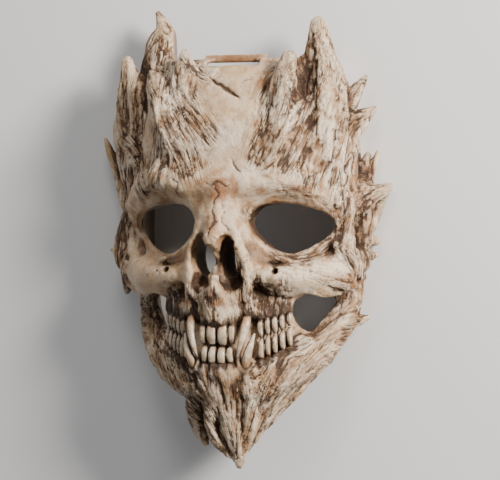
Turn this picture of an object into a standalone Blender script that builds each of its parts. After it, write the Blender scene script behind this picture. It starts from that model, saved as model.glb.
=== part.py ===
"""Horned skull mask: a hollow cast resin face with horns, open eyes, fangs and a strap bar.

The mask lies on its rim with its face up: +X is the viewer's right, +Y the top of the head.
"""

import math

import bmesh
import bpy
from mathutils import Matrix, Vector

# Driving sizes, in metres
MASK_HEIGHT = 0.285
WALL = 0.0045
STRAP_SLOT_WIDTH = 0.027
STRAP_SLOT_GAP = 0.0042
STRAP_BAR_THICKNESS = 0.0048
STRAP_BAR_REACH = 0.0065

# The carving is given in parts of the height, so one part is a millimetre on the real mask
CARVING_HEIGHT = 285
PART = MASK_HEIGHT / CARVING_HEIGHT

# Voxel sizes of the remeshes and the triangles kept
FORM_VOXEL = 1.7 * PART
SHELL_VOXEL = 1.5 * PART
CARVING_VOXEL = 2.0 * PART
LINING_VOXEL = 3.5 * PART
FORM_TRIANGLES = 20000
CARVING_TRIANGLES = 2500
KEPT_TRIANGLES = 6900

BONE_COLOUR = (0.62, 0.47, 0.33, 1.0)
BONE_ROUGHNESS = 0.5

# Cross-sections of the blank: y, half width, height of the rim, height of the front, squareness
SECTIONS = (
    (-130, 9, 41, 48, 2.0),
    (-118, 17, 38, 55, 2.0),
    (-105, 28, 33, 63, 1.9),
    (-90, 41, 24, 70, 1.7),
    (-75, 54, 13, 74, 1.5),
    (-60, 63, 4, 76, 1.4),
    (-45, 68, 0, 77, 1.35),
    (-25, 70, 0, 76, 1.5),
    (-5, 73, 0, 74, 1.85),
    (15, 73, 0, 75, 2.2),
    (35, 72, 0, 76.5, 2.5),
    (60, 69, 0, 74, 2.6),
    (80, 66, 0, 69, 2.6),
    (98, 62, 0, 61, 2.6),
    (108, 58, 0, 53, 2.5),
    (114, 55, 0, 46, 2.4),
)
BLANK_FLOOR = -10
TOP_EDGE = 114
# The hollow runs out past both ends of the blank
CAVITY_PAST_CHIN = 4
CAVITY_PAST_TOP = 20
# The rim is flat down to the jaw's corner at y, then rises to the chin at y, z
RIM_CORNER = -53
RIM_CHIN = (-125, 40)

# Forms on both sides, each a run of points x, y, z and radius for x > 0
BROW = ((1, 34, 75, 6), (30, 37, 69, 8.5), (46, 36, 61, 8.5), (59, 30, 49, 7.5), (67, 20, 36, 6.5))
ORBIT_SIDE = ((67, 22, 36, 6), (68, 8, 33, 6), (68, -6, 34, 7))
CHEEKBONE = ((20, -17, 73, 5), (34, -21, 68, 7), (50, -21, 56, 9), (63, -18, 40, 9.5), (72, -13, 20, 8))
CHEEKBONE_EDGE = ((30, -27, 65, 4), (46, -30, 56, 4.5), (60, -29, 44, 5), (69, -26, 33, 5))
NOSE_RIM = ((9, 16, 76, 5), (14, 2, 79, 4), (18, -20, 76, 4.5), (15, -31, 75, 4.5), (6, -34, 79, 4))
LOWER_JAW = (
    (8, -89, 67, 8), (24, -86, 58, 10), (40, -76, 45, 11),
    (54, -63, 30, 10), (64, -44, 16, 8), (68, -22, 8, 6),
)
PAIRED_FORMS = (BROW, ORBIT_SIDE, CHEEKBONE, CHEEKBONE_EDGE, NOSE_RIM, LOWER_JAW)

# The arch on which the teeth stand: its front, and how fast it falls back to the sides
ARCH_FRONT = 77
ARCH_BEND = 0.0145
# Gums of both sides as x, y, depth behind the arch and radius
UPPER_GUM = ((0, -43, 3, 5.5), (12, -42, 3, 5.5), (24, -40, 3.6, 5.5), (40, -36, 5.8, 5))
LOWER_GUM = ((0, -79, 5, 6), (12, -79, 4.9, 6), (24, -76, 7.6, 6), (42, -63, 7.4, 5))

NASAL_BONES = ((0, 26, 75, 6), (0, 14, 79, 6.5), (0, 3, 84.5, 6))
NASAL_SPINE = ((0, -22, 83, 3), (0, -29, 83, 4), (0, -38, 79, 5.5), (0, -47, 77, 5))
MIDDLE_FORMS = (NASAL_BONES, NASAL_SPINE)

# Horns with fluted sides, and the number of flutes
HORNS = (
    (((33, 62, 64, 5), (37, 88, 59, 9), (38.5, 102, 56, 7.5), (39, 113.5, 54.5, 4)), 6),
    (((58, 30, 46, 6), (60, 58, 44, 11), (57, 92, 38, 12.8),
      (51.5, 117, 31.5, 8.8), (48.3, 137.5, 27, 3.2)), 8),
    (((64, 82, 22, 6), (69, 91, 18, 4.8), (75.7, 103, 12, 1.4)), 4),
    (((62, 54, 28, 8), (67, 68, 22, 7.5), (74, 77, 16, 5.2), (80.8, 83.4, 10, 1.6)), 5),
    (((64, 20, 32, 8), (77, 28, 16, 6), (90, 35, 6, 1.8)), 5),
    (((-60, 66, 15, 11), (-60, 98, 16, 13), (-58, 124, 16, 9.5),
      (-56, 135, 17, 5.6), (-60, 146, 18, 1.2)), 7),
    (((-66, 22, 32, 7), (-70, 54, 31, 11.5), (-72, 84, 30, 10),
      (-76, 112, 30, 3.8), (-76.5, 116, 30, 2.4)), 7),
    (((-24, 38, 68, 3), (-30, 57, 65, 7), (-38, 75, 61, 9),
      (-46, 96, 56.5, 6.5), (-50.5, 105, 55, 2.6)), 6),
    (((-30, 72, 60, 7), (-29, 90, 56, 9), (-29, 106, 52.5, 7), (-31, 119, 50, 1.4)), 6),
)
FLUTE_REACH = 0.86
FLUTE_SHARE = 0.36
FLUTE_TWIST = 0.6

# Fins, spurs and the tendrils of the chin, which differ from side to side
SPURS = (
    ((66, 18, 26, 6), (72, 33, 14, 4.5), (74, 45, 10, 4), (76.5, 56, 7, 2.6)),
    ((66, 26, 28, 5), (67.5, 40, 20, 4), (69.5, 50, 16, 2.8)),
    ((89, 34, 6, 1.8), (82, 19, 8, 3.4), (76, 6, 10, 4.4), (72, -4, 14, 5)),
    ((72, 2, 18, 5), (80.5, 0.6, 6, 3)),
    ((70, -10, 26, 6), (76, -9, 17, 4.5), (83, -7.8, 9, 1.2)),
    ((66, -3, 40, 3.5), (71, -12, 35, 5), (76, -22, 27, 2)),
    ((62, -23, 46, 4.5), (70, -25, 38, 4), (77, -27.5, 31, 1.2)),
    ((62, -52, 22, 6), (71, -49, 15, 3.8), (77, -47, 11, 1.6)),
    ((-74, 44, 20, 8), (-84, 58, 14, 5.5), (-90, 70, 10, 3.4), (-91.5, 79, 9, 1.3)),
    ((-74, 22, 22, 8), (-86, 42, 14, 5), (-94, 56, 12, 3), (-98, 66, 12, 1.3)),
    ((-72, 14, 30, 8), (-78, 2, 26, 7.5), (-79, -12, 28, 6)),
    ((-76, -8, 30, 5), (-88.5, -5, 26, 1.1)),
    ((-72, -16, 36, 6.5), (-78, -31, 26, 2.4)),
    ((1, -88, 64, 10), (3, -108, 59, 8.5), (4, -122, 54, 6.2), (4.5, -132, 50, 4.2), (5, -140.5, 47, 1.6)),
    ((-14, -86, 64, 8), (-21, -103, 54, 7), (-21, -116, 49, 4.6), (-18, -126, 45, 1.4)),
    ((-4, -92, 68, 6), (-9, -108, 62, 5), (-7, -121, 57, 4), (-1, -131, 52, 2.2)),
    ((14, -90, 65, 7), (14, -106, 59, 6), (11, -118, 54, 5), (7, -128, 50, 2.5)),
    ((27, -90, 50, 7), (21, -104, 47, 6), (15, -115, 46, 4.5), (10, -126, 46, 2)),
)

# Plates of the temples: centre and radii
TEMPLE_PLATE = ((73, 16, 16), (9, 18, 7))
NASAL_ROOT = ((0, 10, 70), (17, 22, 13))

# Eye sockets: a wide recess, its lining behind and the opening's outline
SOCKET_RECESS = ((41, 11, 77), (27, 20, 19))
SOCKET_LINING = ((40, 11, 58), (33, 26, 17))
SOCKET_TURN = math.radians(22)
EYE_OUTLINE = (
    (16.5, 13), (19.5, 19), (25, 22.5), (34, 24), (46, 22.8), (58, 19), (63.5, 14),
    (63, 7.5), (55, -1), (47, -5.5), (40, -7.5), (31, -5.5), (23, 1), (18, 7),
)
COLUMN_TOP = 95
NOSE_LINING = ((0, -12, 62), (24, 26, 16))

# Cheek openings, nostrils and the hollows beside them
CHEEK_OUTLINE = (
    (39, -38), (43.5, -33.5), (50, -31.5), (61, -35.5), (59, -41),
    (53, -49), (47, -56), (41.5, -52), (38.5, -45),
)
NOSTRILS = (((-9.6, -9), (6.8, 12.8)), ((6.6, -9), (5.4, 12.8)))
NOSTRIL_MIDDLE = 76
NOSTRIL_DEPTH = 80
NOSE_PITS = (((-12, -25, 84), (5.2, 6, 10)), ((11.8, -25, 84), (5.2, 6, 10)))
CHEEK_HOLLOW = ((32, -33, 77), (9, 6.5, 7))
HORN_HOLLOW = ((45, 78, 68, 3), (46.5, 92, 60, 6), (47, 104, 53, 6), (45, 126, 39, 3))
MOUTH_LINE = ((0, -61, 77.5, 4.5), (14, -61, 74.5, 4.5), (26, -58, 68, 4), (36, -54, 59, 3.5))

# Teeth of one side: x, gum y, edge y, half width and half depth
UPPER_TEETH = (
    (3.7, -47, -62.4, 3.1, 3.4), (9.1, -47, -61.8, 2.2, 3), (25.4, -45, -57.4, 1.6, 2.7),
    (28.8, -43, -56, 1.6, 2.7), (32.2, -42, -55, 1.6, 2.7), (35.6, -41, -53, 1.6, 2.6),
    (39, -41, -50.5, 1.6, 2.5),
)
LOWER_TEETH = (
    (3.1, -76, -65.4, 2.6, 3), (8.2, -75, -65, 2.2, 2.7), (25.4, -73, -60.4, 1.6, 2.6),
    (28.8, -71, -59, 1.6, 2.6), (32.2, -70, -58, 1.6, 2.6), (35.6, -67, -56, 1.6, 2.5),
    (39, -64, -54, 1.6, 2.4),
)
# Fangs of both sides as x, y, height in front of the arch and radius
UPPER_FANG = ((17.4, -44, -1.1, 3.2), (17, -54, 3.2, 3.1), (15, -63, 4.3, 2.2), (12.6, -70, 2.3, 0.8))
LOWER_FANG = ((16.5, -77, -3.1, 3.2), (18.2, -70, 1.8, 3.4), (20.5, -62, 5.1, 2.6), (22, -55, 4, 0.9))

# The strap bar lies behind the top edge of the forehead
STRAP_SKIN = 46.8 * PART
STRAP_BAR_Y = 114.2 * PART
STRAP_SLOT_FOOT = 101 * PART
STRAP_SLOT_TOP = 130 * PART
STRAP_SLOT_FLOOR = -20 * PART


def smooth_path(points, steps=4):
    """Points on a smooth curve through the given ones, radius included."""
    rows = [Vector(p) for p in points]
    rows = [2 * rows[0] - rows[1]] + rows + [2 * rows[-1] - rows[-2]]
    path = []
    for a, b, c, d in zip(rows, rows[1:], rows[2:], rows[3:]):
        for i in range(steps):
            t = i / steps
            path.append(0.5 * (2 * b + (c - a) * t + (2 * a - 5 * b + 4 * c - d) * t**2
                               + (3 * b - a - 3 * c + d) * t**3))
    path.append(rows[-2])
    return path


def mirrored(points):
    return tuple((-p[0],) + tuple(p[1:]) for p in points)


def mesh_object(name, mesh, collection):
    made = bpy.data.objects.new(name, mesh)
    collection.objects.link(made)
    return made


def add_tube(form, points, steps=4, sides=1):
    """Add a round bar along a smooth path to the form, a bmesh."""
    path = smooth_path(points, steps)
    curve = bpy.data.curves.new("bar", "CURVE")
    curve.dimensions = "3D"
    curve.bevel_depth = PART
    curve.bevel_resolution = sides
    curve.use_fill_caps = True
    spline = curve.splines.new("POLY")
    spline.points.add(len(path) - 1)
    for point, row in zip(spline.points, path):
        point.co = (row[0] * PART, row[1] * PART, row[2] * PART, 1)
        point.radius = max(row[3], 0.4)
    bar = bpy.data.objects.new("bar", curve)
    bpy.context.collection.objects.link(bar)
    bpy.context.view_layer.update()
    mesh = bpy.data.meshes.new_from_object(bar.evaluated_get(bpy.context.evaluated_depsgraph_get()))
    bpy.data.objects.remove(bar)
    form.from_mesh(mesh)
    bpy.data.meshes.remove(mesh)
    for row in (path[0], path[-1]):
        add_blob(form, row[:3], (max(row[3], 0.4),) * 3, detail=8)


def add_bar(form, points, steps, sides=8, slim=1.0):
    """Add one closed bar with rounded ends along a smooth path, as rings joined in turn."""
    path = smooth_path(points, steps)
    last = len(path) - 1
    rings = []
    for i, row in enumerate(path):
        along = (path[min(i + 1, last)] - path[max(i - 1, 0)]).to_3d().normalized()
        side = along.cross(Vector((0, 0, 1))).normalized() * slim
        other = along.cross(side).normalized()
        places = [(row.to_3d(), row[3])]
        if i == 0:
            places.insert(0, (row.to_3d() - along * row[3] * 0.3, row[3] * 0.7))
        if i == last:
            places.append((row.to_3d() + along * row[3] * 0.3, row[3] * 0.7))
        for centre, radius in places:
            ring = []
            for k in range(sides):
                angle = 2 * math.pi * k / sides
                out = (side * math.cos(angle) + other * math.sin(angle)) * radius
                ring.append(form.verts.new((centre + out) * PART))
            rings.append(ring)
    faces = [form.faces.new(rings[0]), form.faces.new(rings[-1])]
    for a, b in zip(rings, rings[1:]):
        for k in range(sides):
            j = (k + 1) % sides
            faces.append(form.faces.new((a[k], a[j], b[j], b[k])))
    bmesh.ops.recalc_face_normals(form, faces=faces)


def add_blob(form, centre, radii, turn=0.0, detail=20):
    """Add an ellipsoid turned about +Y to the form."""
    place = Matrix.Translation(Vector(centre) * PART) @ Matrix.Rotation(turn, 4, "Y")
    size = Matrix.Diagonal((*(r * PART for r in radii), 1))
    blob = bmesh.new()
    rings = detail // 2
    bmesh.ops.create_uvsphere(blob, u_segments=detail, v_segments=rings, radius=1, matrix=place @ size)
    mesh = bpy.data.meshes.new("blob")
    blob.to_mesh(mesh)
    blob.free()
    form.from_mesh(mesh)
    bpy.data.meshes.remove(mesh)


def add_column(form, outline):
    """Add an upright column with the outline given, from under the rim to past the front."""
    rings = []
    for z in (BLANK_FLOOR, COLUMN_TOP):
        rings.append([form.verts.new((x * PART, y * PART, z * PART)) for x, y in outline])
    faces = [form.faces.new(ring) for ring in rings]
    for i in range(len(outline)):
        j = (i + 1) % len(outline)
        faces.append(form.faces.new((rings[0][i], rings[0][j], rings[1][j], rings[1][i])))
    bmesh.ops.recalc_face_normals(form, faces=faces)


def section_at(y):
    """Half width, rim height, front height and squareness of the blank at y."""
    y = min(max(y, SECTIONS[0][0]), SECTIONS[-1][0])
    for low, high in zip(SECTIONS, SECTIONS[1:]):
        if y <= high[0]:
            t = (y - low[0]) / (high[0] - low[0])
            return [a + (b - a) * t for a, b in zip(low[1:], high[1:])]


def add_blank(form, inset, low, high, columns=44, rows=40):
    """Add a closed block whose front is the plain face, set in by the inset."""
    wall = inset / PART
    lines = []
    for i in range(rows + 1):
        y = low + (high - low) * i / rows
        width, rim, front, power = section_at(y)
        line = [form.verts.new(((-width + wall) * PART, y * PART, BLANK_FLOOR * PART))]
        for j in range(columns + 1):
            angle = math.pi * (j / columns - 0.5)
            side, up = math.sin(angle), math.cos(angle)
            x = math.copysign(abs(side) ** (2 / power), side) * (width - wall)
            z = rim + (front - wall - rim) * max(up, 0) ** (2 / power)
            line.append(form.verts.new((x * PART, y * PART, z * PART)))
        line.append(form.verts.new(((width - wall) * PART, y * PART, BLANK_FLOOR * PART)))
        lines.append(line)
    faces = [form.faces.new(lines[0]), form.faces.new(lines[-1])]
    for a, b in zip(lines, lines[1:]):
        faces.append(form.faces.new((a[-1], a[0], b[0], b[-1])))
        for p, q, r, s in zip(a, a[1:], b[1:], b):
            faces.append(form.faces.new((p, q, r, s)))
    bmesh.ops.recalc_face_normals(form, faces=faces)


def add_flutes(form, points, count):
    """Add bars that wind up round a horn's middle line, so its sides are furrowed."""
    path = smooth_path(points, 3)
    last = len(path) - 1
    rows = [[] for _ in range(count)]
    for i, row in enumerate(path):
        along = (path[min(i + 1, last)] - path[max(i - 1, 0)]).to_3d().normalized()
        side = along.cross(Vector((0.2, 0.1, 1))).normalized()
        other = along.cross(side)
        for flute in range(count):
            angle = 2 * math.pi * flute / count + FLUTE_TWIST * i / last
            out = (side * math.cos(angle) + other * math.sin(angle)) * row[3] * FLUTE_REACH
            rows[flute].append((*(row.to_3d() + out), row[3] * FLUTE_SHARE))
    for bar in rows:
        add_tube(form, bar, steps=1)


def arch_height(x):
    return ARCH_FRONT - ARCH_BEND * x * x


def on_arch(points, toward=1):
    """Points x, y, z and radius from ones whose heights are measured from the arch."""
    return tuple((x, y, arch_height(x) + toward * height, radius) for x, y, height, radius in points)


def add_tooth(form, side, x, gum, edge, width, depth):
    """Add one plain tooth standing on the arch, clear of its neighbours."""
    front = arch_height(x)
    add_bar(form, (
        (side * x, gum, front - 2, depth * 0.9),
        (side * x, (gum * 2 + edge) / 3, front + 0.5, depth),
        (side * x, edge, front + 0.2, depth * 0.85),
    ), 1, slim=width / depth)


def outer_form():
    """The whole outer shape as one bmesh of overlapping closed bodies."""
    form = bmesh.new()
    add_blank(form, 0, SECTIONS[0][0], TOP_EDGE)
    gums = (on_arch(UPPER_GUM, -1), on_arch(LOWER_GUM, -1))
    for points in PAIRED_FORMS + gums:
        add_tube(form, points, sides=3)
        add_tube(form, mirrored(points), sides=3)
    for points in MIDDLE_FORMS + SPURS:
        add_tube(form, points, sides=3)
    for points, flutes in HORNS:
        add_tube(form, points, sides=3)
        add_flutes(form, points, flutes)
    for side in (1, -1):
        centre, radii = TEMPLE_PLATE
        add_blob(form, (side * centre[0], *centre[1:]), radii)
    add_blob(form, *NASAL_ROOT)
    return form


def teeth_form():
    form = bmesh.new()
    for side in (1, -1):
        for tooth in UPPER_TEETH + LOWER_TEETH:
            add_tooth(form, side, *tooth)
    for fang in (on_arch(UPPER_FANG), on_arch(LOWER_FANG)):
        add_bar(form, fang, 1)
        add_bar(form, mirrored(fang), 1)
    return form


def cavity_form():
    form = bmesh.new()
    add_blank(form, WALL, SECTIONS[0][0] - CAVITY_PAST_CHIN, TOP_EDGE + CAVITY_PAST_TOP)
    return form


def lining_form():
    """What stays of the cavity behind the eyes and the nose, so their sockets have a back."""
    form = bmesh.new()
    for side in (1, -1):
        centre, radii = SOCKET_LINING
        add_blob(form, (side * centre[0], *centre[1:]), radii, side * SOCKET_TURN)
    add_blob(form, *NOSE_LINING)
    return form


def carving_form():
    """Everything carved out of the front."""
    form = bmesh.new()
    for side in (1, -1):
        centre, radii = SOCKET_RECESS
        add_blob(form, (side * centre[0], *centre[1:]), radii, side * SOCKET_TURN)
        centre, radii = CHEEK_HOLLOW
        add_blob(form, (side * centre[0], *centre[1:]), radii)
        add_column(form, [(side * x, y) for x, y in EYE_OUTLINE])
        add_column(form, [(side * x, y) for x, y in CHEEK_OUTLINE])
        points = MOUTH_LINE if side > 0 else mirrored(MOUTH_LINE)
        add_tube(form, points)
    add_tube(form, HORN_HOLLOW)
    return form


def nostril_form():
    form = bmesh.new()
    for (x, y), (half_width, half_height) in NOSTRILS:
        add_blob(form, (x, y, NOSTRIL_MIDDLE), (half_width, half_height, NOSTRIL_DEPTH), detail=16)
    return form


def pit_form():
    form = bmesh.new()
    for centre, radii in NOSE_PITS:
        add_blob(form, centre, radii, detail=12)
    return form


def as_object(form, name, collection):
    mesh = bpy.data.meshes.new(name)
    form.to_mesh(mesh)
    form.free()
    return mesh_object(name, mesh, collection)


def add_remesh(obj, voxel, smoothing):
    remesh = obj.modifiers.new("remesh", "REMESH")
    remesh.mode = "VOXEL"
    remesh.voxel_size = voxel
    remesh.use_smooth_shade = True
    if smoothing:
        smooth = obj.modifiers.new("smooth", "SMOOTH")
        smooth.factor = 0.5
        smooth.iterations = smoothing


def add_boolean(obj, other, operation):
    boolean = obj.modifiers.new(operation.lower(), "BOOLEAN")
    boolean.operation = operation
    boolean.solver = "EXACT"
    boolean.object = other


def add_decimate(obj, ratio):
    decimate = obj.modifiers.new("decimate", "DECIMATE")
    decimate.ratio = ratio
    decimate.use_collapse_triangulate = True


def evaluated_mesh(obj):
    bpy.context.view_layer.update()
    graph = bpy.context.evaluated_depsgraph_get()
    return bpy.data.meshes.new_from_object(obj.evaluated_get(graph))


def settle(obj):
    """Keep the object's evaluated mesh and drop its modifiers."""
    mesh = evaluated_mesh(obj)
    obj.modifiers.clear()
    obj.data = mesh
    return len(mesh.polygons)


def keep_triangles(obj, count):
    """Thin the mesh out to about the number of triangles given."""
    triangles = sum(len(p.vertices) - 2 for p in obj.data.polygons)
    add_decimate(obj, min(count / triangles, 1))
    settle(obj)


def as_guide(obj):
    obj.hide_render = True
    obj.display_type = "WIRE"
    return obj


def bone_material():
    material = bpy.data.materials.new("painted_resin_bone")
    material.use_nodes = True
    shader = material.node_tree.nodes["Principled BSDF"]
    shader.inputs["Base Color"].default_value = BONE_COLOUR
    shader.inputs["Roughness"].default_value = BONE_ROUGHNESS
    shader.inputs["Metallic"].default_value = 0.0
    return material


def add_box(form, low, high):
    middle = (Vector(low) + Vector(high)) / 2
    size = Vector(high) - Vector(low)
    bmesh.ops.create_cube(form, size=1, matrix=Matrix.Translation(middle) @ Matrix.Diagonal((*size, 1)))


def rim_cutter():
    """Everything below the rim: flat under the brow and cheeks, rising to the chin."""
    form = bmesh.new()
    beyond = MASK_HEIGHT
    corner = RIM_CORNER * PART
    slope = RIM_CHIN[1] / (RIM_CORNER - RIM_CHIN[0])
    outline = (
        (beyond, 0),
        (corner, 0),
        (corner - beyond, beyond * slope),
        (corner - beyond, -beyond),
        (beyond, -beyond),
    )
    rings = [[form.verts.new((x, y, z)) for y, z in outline] for x in (-beyond, beyond)]
    faces = [form.faces.new(ring) for ring in rings]
    for i in range(len(outline)):
        j = (i + 1) % len(outline)
        faces.append(form.faces.new((rings[0][i], rings[0][j], rings[1][j], rings[1][i])))
    bmesh.ops.recalc_face_normals(form, faces=faces)
    return form


def clear_scene():
    for obj in list(bpy.data.objects):
        bpy.data.objects.remove(obj)


def new_collection(name):
    collection = bpy.data.collections.new(name)
    bpy.context.scene.collection.children.link(collection)
    return collection


def strap_cutter():
    """The slot behind the skin of the forehead's top edge."""
    form = bmesh.new()
    half = STRAP_SLOT_WIDTH / 2
    add_box(form, (-half, STRAP_SLOT_FOOT, STRAP_SLOT_FLOOR), (half, STRAP_SLOT_TOP, STRAP_SKIN))
    return form


def strap_bar_form():
    """A flat-sided bar that closes the slot and is let into the shell at both ends."""
    form = bmesh.new()
    half = STRAP_SLOT_WIDTH / 2 + STRAP_BAR_REACH
    front = STRAP_SKIN - STRAP_SLOT_GAP
    low = (-half, STRAP_BAR_Y - STRAP_BAR_THICKNESS / 2, front - STRAP_BAR_THICKNESS)
    high = (half, STRAP_BAR_Y + STRAP_BAR_THICKNESS / 2, front)
    add_box(form, low, high)
    bmesh.ops.bevel(form, geom=form.edges[:], offset=STRAP_BAR_THICKNESS / 6, segments=1, affect="EDGES")
    return form


def stand_on_origin(obj):
    """Bring the middle of the box to the origin; the rim is already at z = 0."""
    places = [v.co for v in obj.data.vertices]
    middle = [(max(p[i] for p in places) + min(p[i] for p in places)) / 2 for i in (0, 1)]
    obj.data.transform(Matrix.Translation((-middle[0], -middle[1], 0)))


def build_mask():
    parts = new_collection("skull_mask")
    cutters = new_collection("cutters")

    mask = as_object(outer_form(), "skull_mask", parts)
    add_remesh(mask, FORM_VOXEL, 2)
    settle(mask)
    keep_triangles(mask, FORM_TRIANGLES)

    cavity = as_guide(as_object(cavity_form(), "cavity", cutters))
    lining = as_guide(as_object(lining_form(), "socket_lining", cutters))
    add_remesh(lining, LINING_VOXEL, 1)
    settle(lining)
    add_boolean(cavity, lining, "DIFFERENCE")
    settle(cavity)

    carving = as_guide(as_object(carving_form(), "carving", cutters))
    add_remesh(carving, CARVING_VOXEL, 2)
    settle(carving)
    keep_triangles(carving, CARVING_TRIANGLES)
    nostrils = as_guide(as_object(nostril_form(), "nostrils", cutters))
    pits = as_guide(as_object(pit_form(), "nose_pits", cutters))

    for cutter in (cavity, carving, nostrils, pits):
        add_boolean(mask, cutter, "DIFFERENCE")
        settle(mask)
    add_remesh(mask, SHELL_VOXEL, 1)
    settle(mask)
    keep_triangles(mask, KEPT_TRIANGLES)

    teeth = as_guide(as_object(teeth_form(), "teeth", cutters))
    bar = as_guide(as_object(strap_bar_form(), "strap_bar", cutters))
    slot = as_guide(as_object(strap_cutter(), "strap_slot", cutters))
    rim = as_guide(as_object(rim_cutter(), "rim_cutter", cutters))
    for other, operation in ((rim, "DIFFERENCE"), (slot, "DIFFERENCE"), (bar, "UNION"), (teeth, "UNION")):
        add_boolean(mask, other, operation)
        settle(mask)
    stand_on_origin(mask)
    mask.data.materials.append(bone_material())
    return mask


clear_scene()
build_mask()
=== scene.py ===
"""Looks of the horned skull mask: a fine sculpted shell and its teeth, painted as aged bone.

The form is modelled as clay: a grid of signed distances in millimetres, below zero inside,
joined and carved with smooth seams and then turned into a mesh.
"""

import math
from functools import reduce

import bpy
import numpy as np
from mathutils import Matrix, Vector

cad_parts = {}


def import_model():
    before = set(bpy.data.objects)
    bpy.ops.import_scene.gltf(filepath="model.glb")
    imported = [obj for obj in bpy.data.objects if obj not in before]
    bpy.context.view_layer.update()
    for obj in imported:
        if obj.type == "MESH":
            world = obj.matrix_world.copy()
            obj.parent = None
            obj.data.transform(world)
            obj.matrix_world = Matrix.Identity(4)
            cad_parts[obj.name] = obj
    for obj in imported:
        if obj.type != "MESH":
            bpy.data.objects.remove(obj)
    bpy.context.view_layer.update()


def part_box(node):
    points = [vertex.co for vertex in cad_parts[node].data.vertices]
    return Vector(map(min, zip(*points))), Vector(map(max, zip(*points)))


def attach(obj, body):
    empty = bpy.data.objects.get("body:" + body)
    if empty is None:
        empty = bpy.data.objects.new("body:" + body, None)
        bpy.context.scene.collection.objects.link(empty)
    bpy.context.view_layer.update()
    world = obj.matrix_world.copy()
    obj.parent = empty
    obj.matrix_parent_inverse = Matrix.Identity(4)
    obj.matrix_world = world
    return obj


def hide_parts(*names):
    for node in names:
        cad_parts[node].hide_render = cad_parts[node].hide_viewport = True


NODE = "skull_mask"

# Sculpting, in millimetres
SHELL_BOX = (-104, -150, -4), (102, 152, 96)
TEETH_BOX = (-46, -84, 42), (46, -36, 86)
SHELL_STEP = 0.9
TEETH_STEP = 0.45
WALL = 4.5
SHELL_TRIANGLES = 196000
TEETH_TRIANGLES = 60000
SPARE_FACTOR = 0.03
TIP_REACH = 22

# Fibres: the grid of their directions and how far it reaches from the surface, the stride
# along them, and for each kind its width, the strides between two readings and in all
FLOW_STEP = 3.0
FLOW_REACH = 9
STRIDE = 0.9
FIBRES = ((4.4, 3, 21), (2.2, 2, 18), (1.2, 1, 13))

# The photograph's view: the mask turned to the left, seen from straight above
PHOTO_SIZE = (500, 480)
PHOTO_SCALE = 0.62
PHOTO_TURN = math.radians(18)
PHOTO_MIDDLE = (256.4, 242)
VIEW_DEPTH = 45
VIEW_SHIFT = (10.45, 1.24, 0)
LENS = 200
SENSOR = 36

# Cross-sections of the blank: y, half width, height of the rim, height of the front, squareness
SECTIONS = (
    (-130, 9, 41, 48, 2.0),
    (-118, 17, 38, 55, 2.0),
    (-105, 28, 33, 63, 1.9),
    (-90, 41, 24, 70, 1.7),
    (-75, 54, 13, 74, 1.5),
    (-60, 63, 4, 76, 1.4),
    (-45, 68, 0, 77, 1.35),
    (-25, 70, 0, 76, 1.5),
    (-5, 73, 0, 74, 1.85),
    (15, 73, 0, 75, 2.2),
    (35, 72, 0, 76.5, 2.5),
    (60, 69, 0, 74, 2.6),
    (80, 66, 0, 69, 2.6),
    (98, 62, 0, 61, 2.6),
    (108, 58, 0, 53, 2.5),
    (114, 55, 0, 46, 2.4),
)
TOP_EDGE = 114
RIM_CORNER = -53
RIM_SLOPE = 40 / 72

# Forms on both sides as x, y, z and radius for x > 0, with how softly each one joins
PAIRED_FORMS = (
    (((1, 34, 75, 6), (30, 37, 69, 8.5), (46, 36, 61, 8.5), (59, 30, 49, 7.5), (67, 20, 36, 6.5)), 9),
    (((67, 22, 36, 6), (68, 8, 33, 6), (68, -6, 34, 7)), 5),
    (((20, -17, 73, 5), (34, -21, 68, 7), (50, -21, 56, 9), (63, -18, 40, 9.5), (72, -13, 20, 8)), 7),
    (((30, -27, 65, 4), (46, -30, 56, 4.5), (60, -29, 44, 5), (69, -26, 33, 5)), 4),
    (((9, 16, 76, 5), (14, 2, 79, 4), (18, -20, 76, 4.5), (15, -31, 75, 4.5), (6, -34, 79, 4)), 4),
    (((18, 8, 77, 1.6), (21.2, 1.2, 77.5, 2.2), (32.6, -7.4, 74.5, 2.4), (41, -12, 65, 1)), 2.5),
    (((2.6, 6, 83, 2), (4.6, 0, 86, 2), (6, -3.5, 86.5, 0.9)), 1.5),
    (((0, -43, 74, 5.5), (12, -42, 72, 5.5), (24, -40, 65, 5.5), (40, -36, 48, 5)), 6),
    (((0, -79, 72, 6), (12, -79, 70, 6), (24, -76, 61, 6), (42, -63, 44, 5)), 5),
    (((70, 20, 26, 6), (76, 26, 16, 5), (82, 31, 9, 3.5)), 4),
)
NASAL_ROOT = ((0, 10, 70), (17, 22, 13))
TEMPLE_PLATE = ((73, 16, 16), (9, 18, 7))
LOWER_JAW = (
    (8, -89, 67, 8), (24, -86, 58, 10), (40, -76, 45, 11),
    (54, -63, 30, 10), (64, -44, 16, 8), (68, -22, 8, 6),
)
MIDDLE_FORMS = (
    (((0, 26, 75, 6), (0, 14, 79, 6.5), (0, 3, 84.5, 6)), 5),
    (((0, -22, 83, 3), (0, -29, 83, 4), (0, -38, 79, 5.5), (0, -47, 77, 5)), 6),
)

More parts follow.
